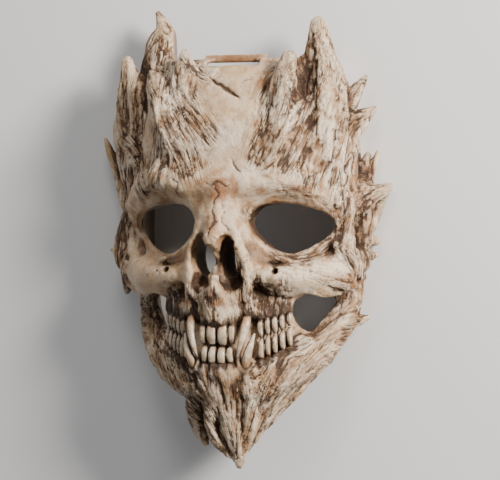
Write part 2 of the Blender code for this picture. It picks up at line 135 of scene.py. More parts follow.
# Horns: the run of points, how softly it joins, and its number of strands
HORNS = (
    (((33, 62, 64, 5), (37, 88, 59, 9), (38.2, 102, 56, 8.3), (38.8, 113, 55, 4.8)), 7, 9),
    (((58, 30, 46, 6), (60, 58, 44, 11), (57, 92, 38, 12.8),
      (51.5, 117, 31.5, 8.8), (49.2, 136.3, 27, 4.3)), 8, 12),
    (((64, 82, 22, 6), (69, 91, 18, 4.8), (75.7, 103, 12, 1.4)), 4, 7),
    (((62, 54, 28, 8), (67, 68, 22, 7.5), (74, 77, 16, 5.2), (80.8, 83.4, 10, 1.6)), 4, 8),
    (((64, 20, 32, 8), (77, 28, 16, 6), (90, 35, 6, 1.8)), 4, 7),
    (((-60, 66, 15, 11), (-60, 98, 16, 13), (-58, 124, 16, 9.5),
      (-56, 135, 17, 5.6), (-60, 146, 18, 1.2)), 6, 11),
    (((-66, 22, 32, 7), (-70, 54, 31, 11.5), (-72, 84, 30, 10),
      (-76, 112, 30, 3.8), (-76.5, 116, 30, 2.4)), 6, 11),
    (((-24, 38, 68, 3), (-30, 57, 65, 7), (-38, 75, 61, 9),
      (-46, 96, 56.5, 6.5), (-50.5, 105, 55, 2.6)), 6, 10),
    (((-30, 72, 60, 7), (-29, 90, 56, 9), (-29, 106, 52.5, 7), (-31, 119, 50, 1.4)), 5, 9),
)

# Fins and spurs of the sides, then the tendrils of the chin
SPURS = (
    ((66, 18, 26, 6), (72, 33, 14, 4.5), (73, 45, 10, 3.4), (75.5, 54.5, 7, 2)),
    ((69, 22, 22, 5), (76, 36, 12, 3.4), (79, 46, 8, 2.6), (82, 56, 6, 1.6)),
    ((66, 26, 28, 5), (67.5, 40, 20, 4), (69.5, 50, 16, 2.8)),
    ((89, 34, 6, 1.8), (82, 19, 8, 3.4), (76, 6, 10, 4.4), (72, -4, 14, 5)),
    ((72, 2, 18, 5), (80.5, 0.6, 6, 3)),
    ((70, -10, 26, 6), (76, -9, 17, 4.5), (83, -7.8, 9, 1.2)),
    ((66, -3, 40, 3.5), (71, -12, 35, 5), (76, -22, 27, 2)),
    ((62, -23, 46, 4.5), (70, -25, 38, 4), (77, -27.5, 31, 1.2)),
    ((62, -52, 22, 6), (71, -49, 15, 3.8), (77, -47, 11, 1.6)),
    ((-74, 44, 20, 8), (-84, 58, 14, 5.5), (-90, 70, 10, 3.4), (-91.5, 79, 9, 1.3)),
    ((-74, 22, 22, 8), (-86, 42, 14, 5), (-94, 56, 12, 3), (-98, 66, 12, 1.3)),
    ((-72, 14, 30, 8), (-78, 2, 26, 7.5), (-79, -12, 28, 6)),
    ((-76, -8, 30, 5), (-88.5, -5, 26, 1.1)),
    ((-72, -16, 36, 6.5), (-78, -31, 26, 2.4)),
)
TENDRILS = (
    ((1, -88, 64, 10), (3, -108, 59, 8.5), (4, -122, 54, 6.2), (4.5, -132, 50, 4.2), (5, -140.5, 47, 1.6)),
    ((-14, -86, 64, 8), (-21, -103, 54, 7), (-21, -116, 49, 4.6), (-18, -126, 45, 1.4)),
    ((-4, -92, 68, 6), (-9, -108, 62, 5), (-7, -121, 57, 4), (-1, -131, 52, 2.2)),
    ((14, -90, 65, 7), (14, -106, 59, 6), (11, -118, 54, 5), (7, -128, 50, 2.5)),
    ((27, -90, 50, 7), (21, -104, 47, 6), (15, -115, 46, 4.5), (10, -126, 46, 2)),
)

# Hollows and openings
SOCKET_RECESS = ((41, 11, 77), (27, 20, 19))
SOCKET_LINING = ((40, 11, 58), (33, 26, 17))
SOCKET_TURN = 22
NOSE_LINING = ((0, -12, 62), (24, 26, 16))
EYE_OUTLINE = (
    (16.5, 13), (19.5, 19), (25, 22.5), (34, 24), (46, 22.8), (58, 19), (63.5, 14),
    (63, 7.5), (55, -1), (47, -5.5), (40, -7.5), (31, -5.5), (23, 1), (18, 7),
)
CHEEK_OUTLINE = (
    (39, -38), (43.5, -33.5), (50, -31.5), (59, -35.5), (57.5, -41),
    (53, -49), (47, -56), (41.5, -52), (38.5, -45),
)
NOSTRILS = (((-9.6, -9), (6.8, 12.8)), ((6.6, -9), (5.4, 12.8)))
NOSE_PITS = (((-11.4, -23.6, 82), (4.6, 6.2, 17)), ((11.6, -23.4, 82), (5.6, 6.4, 17)))
SMALL_PITS = (
    ((35.2, -18, 74), (2.1, 1.7, 6)),
    ((-35, -17, 74), (2.1, 1.7, 6)), ((27.5, -33, 70), (1.4, 3.4, 5)),
)
CHEEK_HOLLOW = ((32, -33, 77), (9, 6.5, 7))
HORN_HOLLOW = ((45, 76, 68, 3), (46.8, 91, 58.5, 7), (47.2, 104, 51.5, 6.8), (44, 126, 38, 4))
MOUTH_LINE = ((0, -61, 77.5, 4.5), (14, -61, 74.5, 4.5), (26, -58, 68, 4), (36, -54, 59, 3.5))

# Teeth of one side: x, gum y, edge y, half width and half depth
UPPER_TEETH = (
    (3.45, -47, -62.8, 3.3, 3.4), (9.1, -47, -62.2, 2.35, 3), (24.9, -45, -57.8, 1.75, 2.7),
    (28.4, -43, -56.2, 1.75, 2.7), (32, -42, -55, 1.8, 2.7), (35.6, -41, -53.4, 1.75, 2.6),
    (39, -41, -51, 1.65, 2.5),
)
LOWER_TEETH = (
    (2.9, -76, -63.9, 2.75, 3), (8.1, -75, -63.6, 2.3, 2.7), (25.2, -73, -59, 1.75, 2.6),
    (28.7, -71, -57.4, 1.75, 2.6), (32.2, -70, -56.2, 1.75, 2.6), (35.7, -67, -54.6, 1.75, 2.5),
    (39, -64, -52.2, 1.6, 2.4),
)
UPPER_FANG = ((17.4, -43, 71.5, 2.7), (17.6, -50, 75.5, 2.7), (16.2, -58, 78.4, 2.2),
              (14.4, -65, 78.6, 1.5), (12.4, -70.5, 77, 0.5))
LOWER_FANG = ((15.6, -79, 71, 2.8), (17.6, -72, 74.5, 2.9), (20, -64, 75.5, 2.3), (22.3, -56, 73, 0.6))
BOXY = 3.4
ARCH_FRONT = 77
ARCH_BEND = 0.0145
UPPER_FANG_ROOT = ((18.6, -28, 76, 2), (18.2, -36, 75, 3.4), (17.6, -43.5, 73, 3.2))
LOWER_FANG_ROOT = ((16.4, -88, 68, 2), (16, -81, 69.5, 3.4), (16.8, -76.5, 70, 3.2))
LOWER_POCKET = ((12.6, -68, 75, 1.1), (13, -74, 75.5, 1.5), (16.5, -79, 74.5, 1.7), (21, -75, 72, 1.5))

# Strap bar: half length and height of its slot, and the bar behind it
SLOT_LOW, SLOT_HIGH = (-13.5, 101, -6), (13.5, 131, 46.8)
BAR_LOW, BAR_HIGH = (-20, 111.8, 37.8), (20, 116.6, 42.6)
NOTCH_LOW, NOTCH_HIGH = (-17, 109.4, 44.4), (17, 124, 70)

# Fibres on the face where the photograph shows them, in its pixels: line, reach in mm, strength
GUIDES = (
    (((322, 22), (328, 45), (318, 90), (300, 130), (285, 165)), 11, 1.0),
    (((334, 45), (342, 80), (335, 120), (322, 160), (314, 184)), 9, 1.0),
    (((288, 55), (286, 75), (276, 105), (262, 135), (254, 158)), 8, 0.9),
    (((282, 62), (271, 80), (262, 98)), 5, 0.7),
    (((291, 62), (295, 86), (304, 99), (313, 88), (317, 64)), 5, 1.0),
    (((297, 60), (301, 74), (307, 80), (313, 60)), 3.5, 1.0),
    (((366, 76), (352, 88), (344, 105), (338, 130), (330, 165)), 7, 1.0),
    (((374, 108), (356, 122), (345, 145), (338, 170)), 7, 1.0),
    (((348, 95), (350, 111), (361, 112)), 3.5, 1.0),
    (((160, 14), (172, 40), (170, 70), (165, 110), (160, 150), (158, 180)), 8, 1.0),
    (((160, 14), (150, 40), (138, 60), (132, 90)), 6, 1.0),
    (((126, 55), (124, 90), (130, 130), (140, 170), (146, 188)), 9, 1.0),
    (((152, 76), (160, 100), (172, 130), (184, 155), (190, 172)), 11, 1.0),
    (((184, 50), (180, 75), (186, 100), (200, 122), (212, 138)), 7, 1.0),
    (((183, 52), (174, 75), (172, 95), (182, 125)), 5, 1.0),
    (((190, 60), (197, 72), (207, 77), (214, 72)), 4, 0.9),
    (((248, 212), (260, 236), (280, 254), (305, 258), (328, 244)), 4, 0.55),
    (((250, 196), (275, 190), (305, 194), (330, 206)), 4, 0.22),
    (((339, 100), (330, 130), (318, 160), (310, 178)), 7, 0.9),
    (((298, 120), (284, 146), (270, 166)), 8, 0.8),
    (((216, 292), (217, 322)), 7, 0.8),
    (((243, 268), (248, 292), (250, 314)), 7, 0.8),
    (((266, 276), (270, 310)), 7, 0.75),
    (((290, 276), (287, 302)), 6, 0.6),
    (((196, 292), (198, 320)), 6, 0.7),
    (((176, 290), (180, 312)), 6, 0.7),
    (((300, 268), (322, 274), (345, 284)), 6, 0.5),
    (((352, 286), (346, 312), (326, 337), (302, 353), (276, 364)), 11, 0.75),
    (((150, 305), (160, 345), (180, 385), (210, 425), (236, 462)), 9, 0.9),
    (((188, 365), (202, 395), (222, 430), (238, 466)), 8, 1.0),
    (((215, 370), (222, 400), (234, 435), (242, 470)), 7, 1.0),
    (((246, 380), (247, 405), (245, 440), (243, 470)), 7, 1.0),
    (((286, 366), (270, 392), (256, 425), (246, 465)), 8, 1.0),
    (((330, 345), (305, 372), (280, 402), (258, 435)), 8, 0.9),
    (((352, 180), (350, 215), (345, 240)), 6, 0.6),
    (((124, 205), (122, 240), (128, 280)), 7, 0.7),
)
# Fibres that wind round the lower jaw: points, reach, strength and turn in degrees
STRAND_RUNS = (
    (((24, -86, 60), (40, -76, 46), (54, -63, 32), (66, -42, 16)), 11, 0.8, 55),
    (((72, -24, 20), (72, 18, 22), (68, 60, 20), (60, 108, 14)), 14, 0.7, 0),
)
# How far down the bone comes over the teeth, at three places across
GUM_ACROSS = (0, 12, 24, 40)
UPPER_GUM_LINE = (-51.5, -51, -48.2, -43.5)
LOWER_GUM_LINE = (-73.8, -73.5, -72.3, -64.5)


def smooth_path(points, steps=5):
    """Rows on a smooth curve through the given ones, of any number of columns."""
    p = np.array(points, float)
    ends = np.vstack([2 * p[0] - p[1], p, 2 * p[-1] - p[-2]])
    rows = []
    for i in range(1, len(ends) - 2):
        a, b, c, d = ends[i - 1 : i + 3]
        for t in np.arange(steps) / steps:
            rows.append(0.5 * (2 * b + (c - a) * t + (2 * a - 5 * b + 4 * c - d) * t**2
                               + (3 * b - a - 3 * c + d) * t**3))
    rows.append(p[-1])
    return np.array(rows)


def mirrored(points):
    return tuple((-p[0],) + tuple(p[1:]) for p in points)


def length_of(*parts):
    return np.sqrt(sum(p * p for p in parts))


class Clay:
    """A grid of signed distances that shapes are joined to and carved from."""

    def __init__(self, low, high, step):
        self.low = np.array(low, float)
        self.step = step
        self.count = np.ceil((np.array(high, float) - self.low) / step).astype(int) + 1
        self.field = np.full(self.count, 60.0, np.float32)

    def region(self, low, high):
        """The cells between two corners, and their x, y and z."""
        a = np.clip(np.floor((np.array(low) - self.low) / self.step).astype(int), 0, self.count)
        b = np.clip(np.ceil((np.array(high) - self.low) / self.step).astype(int) + 1, 0, self.count)
        where = tuple(slice(i, j) for i, j in zip(a, b))
        axes = [(self.low[i] + self.step * np.arange(a[i], b[i])).astype(np.float32) for i in range(3)]
        return where, axes[0][:, None, None], axes[1][None, :, None], axes[2][None, None, :]

    def everywhere(self):
        return self.region(self.low, self.low + self.step * self.count)

    def join(self, where, d, soft):
        f = self.field[where]
        h = np.maximum(soft - np.abs(f - d), 0) / soft
        self.field[where] = np.minimum(f, d) - h * h * (soft * 0.25)

    def carve(self, where, d, soft):
        f = self.field[where]
        h = np.maximum(soft - np.abs(f + d), 0) / soft
        self.field[where] = np.maximum(f, -d) + h * h * (soft * 0.25)

    def put(self, where, d, soft, cut):
        (self.carve if cut else self.join)(where, d.astype(np.float32), soft)

    def tube(self, points, soft=3.0, cut=False, steps=5):
        """A tapering round bar along rows of x, y, z and radius."""
        path = smooth_path(points, steps) if steps > 1 else np.asarray(points, float)
        places, radii = path[:, :3], np.maximum(path[:, 3], 0.3)
        pad = radii.max() + soft + 2
        where, x, y, z = self.region(places.min(0) - pad, places.max(0) + pad)
        nearest = None
        for a, b, ra, rb in zip(places, places[1:], radii, radii[1:]):
            run = b - a
            dx, dy, dz = x - a[0], y - a[1], z - a[2]
            t = np.clip((dx * run[0] + dy * run[1] + dz * run[2]) / max(run @ run, 1e-9), 0, 1)
            d = length_of(dx - t * run[0], dy - t * run[1], dz - t * run[2]) - (ra + (rb - ra) * t)
            nearest = d if nearest is None else np.minimum(nearest, d)
        self.put(where, nearest, soft, cut)

    def blob(self, centre, radii, soft=5.0, cut=False, turn=0.0):
        """An ellipsoid, turned about the Y axis by degrees."""
        pad = max(radii) + soft + 2
        where, x, y, z = self.region(np.array(centre) - pad, np.array(centre) + pad)
        a = math.radians(turn)
        dx, dy, dz = x - centre[0], y - centre[1], z - centre[2]
        u = (dx * math.cos(a) - dz * math.sin(a)) / radii[0]
        v = dy / radii[1]
        w = (dx * math.sin(a) + dz * math.cos(a)) / radii[2]
        q = length_of(u, v, w)
        slope = length_of(u / radii[0], v / radii[1], w / radii[2])
        self.put(where, q * (q - 1) / np.maximum(slope, 1e-6), soft, cut)

    def column(self, outline, soft=2.0):
        """Cut a hole with the outline given right through along Z."""
        ring = np.array(outline, float)
        ring = smooth_path(np.vstack([ring, ring[:1]]), 3)[:-1]
        low, high = ring.min(0) - 6, ring.max(0) + 6
        where, x, y, z = self.region((*low, self.low[2]), (*high, 200))
        x, y = np.broadcast_arrays(x[:, :, 0], y[:, :, 0])
        nearest = np.full(x.shape, 1e9)
        inside = np.zeros(x.shape, bool)
        for a, b in zip(ring, np.roll(ring, -1, 0)):
            run = b - a
            t = np.clip(((x - a[0]) * run[0] + (y - a[1]) * run[1]) / (run @ run), 0, 1)
            nearest = np.minimum(nearest, np.hypot(x - a[0] - t * run[0], y - a[1] - t * run[1]))
            if a[1] != b[1]:
                crossing = ((a[1] > y) != (b[1] > y)) & (x < a[0] + (y - a[1]) / run[1] * run[0])
                inside ^= crossing
        d = np.where(inside, -nearest, nearest)[:, :, None]
        self.carve(where, np.broadcast_to(d, self.field[where].shape).astype(np.float32), soft)

    def box(self, low, high, soft, cut=False, rounding=0.0):
        low, high = np.array(low, float), np.array(high, float)
        where, x, y, z = self.region(low - soft - rounding - 3, high + soft + rounding + 3)
        c, h = (low + high) / 2, (high - low) / 2 - rounding
        q = [np.abs(v - c[i]) - h[i] for i, v in enumerate((x, y, z))]
        out = length_of(*(np.maximum(v, 0) for v in q))
        inner = np.minimum(np.maximum(np.maximum(q[0], q[1]), q[2]), 0)
        self.put(where, out + inner - rounding, soft, cut)


def blended(grid, cell, t):
    """Values of a grid, one or several a cell, at a share t of the way to the next cells."""
    total = 0
    for corner in np.ndindex(2, 2, 2):
        weight = np.prod(np.where(corner, t, 1 - t), axis=1)
        at = (cell + corner) % grid.shape[:3]
        value = grid[at[:, 0], at[:, 1], at[:, 2]]
        total = total + value * (weight if value.ndim == 1 else weight[:, None])
    return total


def sample(grid, low, step, points):
    """Values of a grid at points between its cells."""
    place = (points - low) / step
    cell = np.clip(np.floor(place).astype(int), 0, np.array(grid.shape[:3]) - 2)
    return blended(grid, cell, np.clip(place - cell, 0, 1).astype(np.float32))


class Noise:
    """Smooth noise between about -1 and 1, the same each run."""

    def __init__(self, seed, count=32):
        self.table = np.random.default_rng(seed).uniform(-1, 1, (count,) * 3).astype(np.float32)

    def __call__(self, points, scale):
        place = points / scale
        cell = np.floor(place).astype(int)
        t = place - cell
        return blended(self.table, cell, (t * t * (3 - 2 * t)).astype(np.float32))


def surface_of(field, low, step):
    """Points and four-sided faces of the field's zero surface."""
    inside = field < 0
    count = np.array(field.shape)
    corners = [(i, j, k) for i in (0, 1) for j in (0, 1) for k in (0, 1)]
    total = np.zeros(count - 1, np.int8)
    for i, j, k in corners:
        total += inside[i : count[0] - 1 + i, j : count[1] - 1 + j, k : count[2] - 1 + k]
    mixed = (total > 0) & (total < 8)
    cells = np.argwhere(mixed)
    index = np.full(mixed.shape, -1, np.int32)
    index[mixed] = np.arange(len(cells), dtype=np.int32)
    values = np.stack([field[cells[:, 0] + i, cells[:, 1] + j, cells[:, 2] + k] for i, j, k in corners], 1)
    sums, hits = np.zeros((len(cells), 3)), np.zeros(len(cells))
    spots = np.array(corners, float)
    for a in range(8):
        for b in range(a + 1, 8):
            if abs(spots[a] - spots[b]).sum() != 1:
                continue
            fa, fb = values[:, a].astype(float), values[:, b].astype(float)
            cross = (fa < 0) != (fb < 0)
            t = np.where(cross, fa / np.where(cross, fa - fb, 1), 0)
            sums += np.where(cross[:, None], spots[a] + (spots[b] - spots[a]) * t[:, None], 0)
            hits += cross
    points = low + step * (cells + sums / hits[:, None])
    quads = []
    for axis in range(3):
        one, two = [(1, 2), (2, 0), (0, 1)][axis]
        before, after = [slice(None)] * 3, [slice(None)] * 3
        before[axis], after[axis] = slice(0, -1), slice(1, None)
        a, b = inside[tuple(before)], inside[tuple(after)]
        change = np.argwhere(a != b)
        keep = (change[:, one] > 0) & (change[:, two] > 0)
        keep &= (change[:, one] < count[one] - 1) & (change[:, two] < count[two] - 1)
        change = change[keep]
        e1, e2 = np.eye(3, dtype=int)[one], np.eye(3, dtype=int)[two]
        four = [change - e1 - e2, change - e2, change, change - e1]
        quad = np.stack([index[q[:, 0], q[:, 1], q[:, 2]] for q in four], 1)
        forward = a[change[:, 0], change[:, 1], change[:, 2]]
        quads.append(np.where(forward[:, None], quad, quad[:, ::-1]))
    return points, np.concatenate(quads)


def normals_at(clay, points):
    """Directions out of the surface, from the slope of the distances."""
    h = clay.step
    slopes = []
    for axis in range(3):
        shift = np.zeros(3)
        shift[axis] = h
        slopes.append(sample(clay.field, clay.low, h, points + shift)
                      - sample(clay.field, clay.low, h, points - shift))
    n = np.stack(slopes, 1)
    return n / np.maximum(np.linalg.norm(n, axis=1), 1e-6)[:, None]


def sections_at(y, inset):
    """Half width, rim height, front height and squareness of the blank at each y."""
    rows = np.array(SECTIONS, float)
    fine = np.arange(-150, 131, 1.0)
    kernel = np.hanning(13)
    kernel /= kernel.sum()
    smooth = []
    for column in range(1, 5):
        values = np.pad(np.interp(fine, rows[:, 0], rows[:, column]), 6, mode="edge")
        smooth.append(np.interp(y, fine, np.convolve(values, kernel, "valid")))
    width, rim, front, power = smooth
    return width - inset, rim, front - inset, power


def blank_distance(clay, inset):
    """Distances to the plain domed face, set in by the inset."""
    where, x, y, z = clay.everywhere()
    rows = [v.astype(np.float32)[None, :, None] for v in sections_at(y[0, :, 0], inset)]
    width, rim, front, power = rows
    across = np.abs(x) / np.maximum(width, 1)
    up = np.maximum(z - rim, 0) / np.maximum(front - rim, 1)
    q = (across**power + up**power) ** (1 / power)
    d = np.sqrt(x * x + np.maximum(z - rim, 0) ** 2) * (1 - 1 / np.maximum(q, 0.05))
    slope = length_of(*np.gradient(d, clay.step))
    return np.clip(d / np.maximum(slope, 0.7), -40, 40).astype(np.float32)


def winding_strands(points, count, seed, reach=0.8, share=0.29, twist=0.7):
    """Rows of bars that wind up round a horn's middle line, uneven in size and place."""
    path = smooth_path(points, 4)
    chance = np.random.default_rng(seed)
    along = np.gradient(path[:, :3], axis=0)
    along /= np.linalg.norm(along, axis=1)[:, None]
    side = np.cross(along, (0.2, 0.1, 1.0))
    side /= np.linalg.norm(side, axis=1)[:, None]
    other = np.cross(along, side)
    t = np.linspace(0, 1, len(path))
    risen = np.clip(t / 0.35, 0, 1)
    rows = []
    for i in range(count):
        angle = 2 * math.pi * (i + chance.uniform(-0.28, 0.28)) / count + twist * t
        out = path[:, 3] * (reach - 0.4 * (1 - risen))
        centre = path[:, :3] + side * (out * np.cos(angle))[:, None] + other * (out * np.sin(angle))[:, None]
        size = path[:, 3] * share * chance.uniform(0.75, 1.2)
        rows.append(np.hstack([centre, size[:, None]]))
    return rows


def both(clay, points, soft, cut=False):
    clay.tube(points, soft, cut)
    clay.tube(mirrored(points), soft, cut)


def paired(clay, side, ellipsoid, soft, cut=False, turn=0):
    (x, y, z), radii = ellipsoid
    clay.blob((side * x, y, z), radii, soft, cut, side * turn)


def sculpt_shell(step):
    """The mask's clay, the distances to its plain inside and to its face before the hollows."""
    clay = Clay(*SHELL_BOX, step)
    where, x, y, z = clay.everywhere()
    clay.field = np.maximum(blank_distance(clay, 0), np.maximum(y - TOP_EDGE, SECTIONS[0][0] - y))
    for points, soft in PAIRED_FORMS:
        both(clay, points, soft)
    both(clay, LOWER_JAW, 8)
    for points, soft in MIDDLE_FORMS:
        clay.tube(points, soft)
    clay.blob(*NASAL_ROOT, 6)
    for side in (1, -1):
        paired(clay, side, TEMPLE_PLATE, 4)
    for i, (points, soft, count) in enumerate(HORNS):
        clay.tube(points, soft)
        for row in winding_strands(points, count, seed=i + 3):
            clay.tube(row, 1.1, steps=1)
    for points in SPURS:
        clay.tube(points, 3)
    for i, points in enumerate(TENDRILS):
        clay.tube(points, 3)
        for row in winding_strands(points, 5, seed=i + 40, twist=1.6):
            clay.tube(row, 0.9, steps=1)
    solid = clay.field.copy()
    inside = blank_distance(clay, WALL)
    clay.field = np.maximum(solid, -inside)

    keep = clay.field
    clay.field = np.full_like(keep, 60)
    for side in (1, -1):
        paired(clay, side, SOCKET_LINING, 1, turn=SOCKET_TURN)
    clay.blob(*NOSE_LINING, 1)
    lining = np.maximum(clay.field, solid)
    clay.field = keep
    clay.join(where, lining, 3)

    for side in (1, -1):
        paired(clay, side, SOCKET_RECESS, 6, True, SOCKET_TURN)
        paired(clay, side, CHEEK_HOLLOW, 6, True)
        clay.column([(side * px, py) for px, py in EYE_OUTLINE])
        clay.column([(side * px, py) for px, py in CHEEK_OUTLINE])
    both(clay, MOUTH_LINE, 2.5, True)
    for rows, line, away in ((UPPER_TEETH, UPPER_GUM_LINE, 1), (LOWER_TEETH, LOWER_GUM_LINE, -1)):
        for px, gum, edge, width, depth in rows:
            end = np.interp(px, GUM_ACROSS, line) + away * 2.0
            front = arch_height(px)
            both(clay, (
                (px, end + away * 10, front - 2.8, 1.5), (px, end + away * 4, front - 0.3, 2.3),
                (px, end, front + 0.5, 2.3),
            ), 1.4)
    both(clay, UPPER_FANG_ROOT, 2.5)
    both(clay, LOWER_FANG_ROOT, 2.5)
    both(clay, LOWER_POCKET, 1.2)
    clay.tube(HORN_HOLLOW, 4, True)
    for (px, py), (width, height) in NOSTRILS:
        clay.blob((px, py, 76), (width, height, 80), 1.6, True)
    for centre, radii in NOSE_PITS + SMALL_PITS:
        clay.blob(centre, radii, 1.2, True)

    bar = Clay(clay.low, clay.low + step * (clay.count - 1), step)
    bar.box(BAR_LOW, BAR_HIGH, 1, rounding=0.8)
    clay.box(SLOT_LOW, SLOT_HIGH, 1.5, cut=True)
    clay.box(NOTCH_LOW, NOTCH_HIGH, 1.5, cut=True, rounding=1.5)
    clay.join(where, bar.field[tuple(slice(0, n) for n in clay.field.shape)], 1.5)
    slope_down = ((RIM_CORNER - y) * RIM_SLOPE - z) / math.hypot(1, RIM_SLOPE)
    clay.field = np.maximum(clay.field, np.maximum(-z, slope_down)).astype(np.float32)
    return clay, inside, solid


def arch_height(x):
    return ARCH_FRONT - ARCH_BEND * x * x


def sculpt_teeth(step):
    clay = Clay(*TEETH_BOX, step)
    chance = np.random.default_rng(8)

    def tooth(side, x, gum, edge, width, depth):
        """A tooth that swells at its shoulder and is worn at its edge."""
        front = arch_height(x)
        edge += math.copysign(0.72 * depth - 0.55, gum - edge) + chance.uniform(-0.45, 0.45)
        x += chance.uniform(-0.15, 0.15)
        width *= chance.uniform(0.92, 1.04)
        rows = smooth_path((
            (gum, front - 2.4, 0.7), (gum * 0.6 + edge * 0.4, front + 0.2, 0.95),
            (gum * 0.25 + edge * 0.75, front + 0.5, 1.0), (edge, front - 0.5, 0.72),
        ), 4)
        pad = width + depth + 3
        low = (side * x - pad, min(gum, edge) - pad, front - pad)
        high = (side * x + pad, max(gum, edge) + pad, front + pad)
        where, px, py, pz = clay.region(low, high)
        flat = depth / width
        nearest = None
        for a, b in zip(rows, rows[1:]):
            run = b[:2] - a[:2]
            t = np.clip(((py - a[0]) * run[0] + (pz - a[1]) * run[1]) / (run @ run), 0, 1)
            radius = depth * (a[2] + (b[2] - a[2]) * t)
            across = np.abs(px - side * x) * flat
            beside = length_of(py - a[0] - t * run[0], pz - a[1] - t * run[1])
            d = (across**BOXY + beside**BOXY) ** (1 / BOXY) - radius
            nearest = d if nearest is None else np.minimum(nearest, d)
        clay.put(where, nearest * min(1, 1 / flat), 0.35, False)

    for side in (1, -1):
        for row in UPPER_TEETH + LOWER_TEETH:
            tooth(side, *row)
    for fang in (UPPER_FANG, LOWER_FANG):
        both(clay, fang, 0.5)
    return clay


def along_run(points, path, turn=0.0):
    """Where points lie by a run: along it, round it, aside, past its ends and out from it.

    Then its radius there, and its heading with a turn round it by degrees.
    """
    best = np.full(len(points), 1e9)
    far, radius, angle, aside, lift = np.zeros((5, len(points)))
    heading = np.zeros((len(points), 3))
    lead = math.radians(turn)
    covered = 0.0
    for a, b in zip(path, path[1:]):
        run = b[:3] - a[:3]
        size = math.sqrt(run @ run)
        unit = run / max(size, 1e-6)
        rest = points - a[:3]
        t = np.clip(rest @ unit, 0, size)
        rest -= t[:, None] * unit
        d = np.sqrt(np.einsum("ij,ij->i", rest, rest))
        near = d < best
        up = np.array((0, 0, 1)) - unit * unit[2]
        up /= max(math.sqrt(up @ up), 1e-6)
        side = np.cross(unit, up)
        best = np.where(near, d, best)
        far = np.where(near, covered + t, far)
        radius = np.where(near, a[3] + (b[3] - a[3]) * t / max(size, 1e-6), radius)
        angle = np.where(near, np.arctan2(rest @ side, rest @ up), angle)
        aside = np.where(near, rest @ side, aside)
        lift = np.where(near, rest @ up, lift)
        heading[near] = unit
        if turn:
            around = np.cross(unit, rest[near]) / np.maximum(d[near], 1e-6)[:, None]
            heading[near] = unit * math.cos(lead) + around * math.sin(lead)
        covered += size
    past = np.sqrt(np.maximum(best**2 - aside**2 - lift**2, 0))
    return far, angle, aside, past, best, radius, heading


def near_tips(points):
    """1 at the tips of the horns and fins, falling to 0 a little way down."""
    share = np.zeros(len(points))
    for run in [horn[0] for horn in HORNS] + list(SPURS):
        tip = np.array(run[-1][:3]) if run[-1][3] < run[0][3] else np.array(run[0][:3])
        d = np.linalg.norm(points - tip, axis=1)
        share = np.maximum(share, np.clip(1 - d / (TIP_REACH if len(run) > 3 else TIP_REACH / 2), 0, 1))
    return share


def raised(line, step=3):
    """A line on the photograph lifted to the blank's front, as x, y and z."""
    flat = smooth_path(line, step)
    y = (PHOTO_MIDDLE[1] - flat[:, 1]) * PHOTO_SCALE
    width, rim, front, power = sections_at(y, 0)
    z = front.copy()
    for _ in range(6):
        x = ((flat[:, 0] - PHOTO_MIDDLE[0]) * PHOTO_SCALE + z * math.sin(PHOTO_TURN)) / math.cos(PHOTO_TURN)
        share = np.clip(np.abs(x) / width, 0, 0.97)
        z = 0.5 * z + 0.5 * (rim + (front - rim) * (1 - share**power) ** (1 / power))
    return np.stack([x, y, z], 1)


def strand_runs():
    """Every run that strands follow: path, reach, strength, turn and mean radius."""
    runs = []
    for points, _, _ in HORNS:
        path = smooth_path(points, 3)
        runs.append((path, 4, 0.8, 6, path[:, 3].mean()))
    for points in TENDRILS:
        path = smooth_path(points, 3)
        runs.append((path, 3, 0.7, 14, path[:, 3].mean()))
    for points in SPURS:
        path = smooth_path(points, 3)
        runs.append((path, 3, 0.6, 5, path[:, 3].mean()))
    for points, reach, strength, turn in STRAND_RUNS:
        for row in (points, mirrored(points)):
            path = smooth_path([(*p, reach * 0.5) for p in row], 3)
            sense = 1 if row is points else -1
            runs.append((path, reach, strength, sense * turn, reach))
    for line, reach, strength in GUIDES:
        path = raised(line)
        path = np.hstack([path, np.full((len(path), 1), reach * 0.6)])
        runs.append((path, reach, strength * 1.3, None, reach))
    return runs


def run_weight(points, run):
    """The points near a run, how strongly it draws each of them, and where they lie by it."""
    path, reach, strength, turn, _ = run
    pad = path[:, 3].max() + reach * 2 + (12 if turn is None else 0)
    close = np.all((points > path[:, :3].min(0) - pad) & (points < path[:, :3].max(0) + pad), axis=1)
    index = np.nonzero(close)[0]
    if not len(index):
        return index, None, None
    by_run = along_run(points[index], path, turn or 0)
    _, _, aside, past, out, radius, _ = by_run
    if turn is None:
        beyond = (aside**2 + (past * 1.2) ** 2) / reach**2
        return index, strength * np.exp(-beyond * 1.2 - np.maximum(out - 24, 0) / 6), by_run
    beyond = np.maximum(out - radius, 0) / reach
    return index, strength * np.exp(-beyond**2 * 1.4) * np.clip(radius / 5, 0.15, 1), by_run


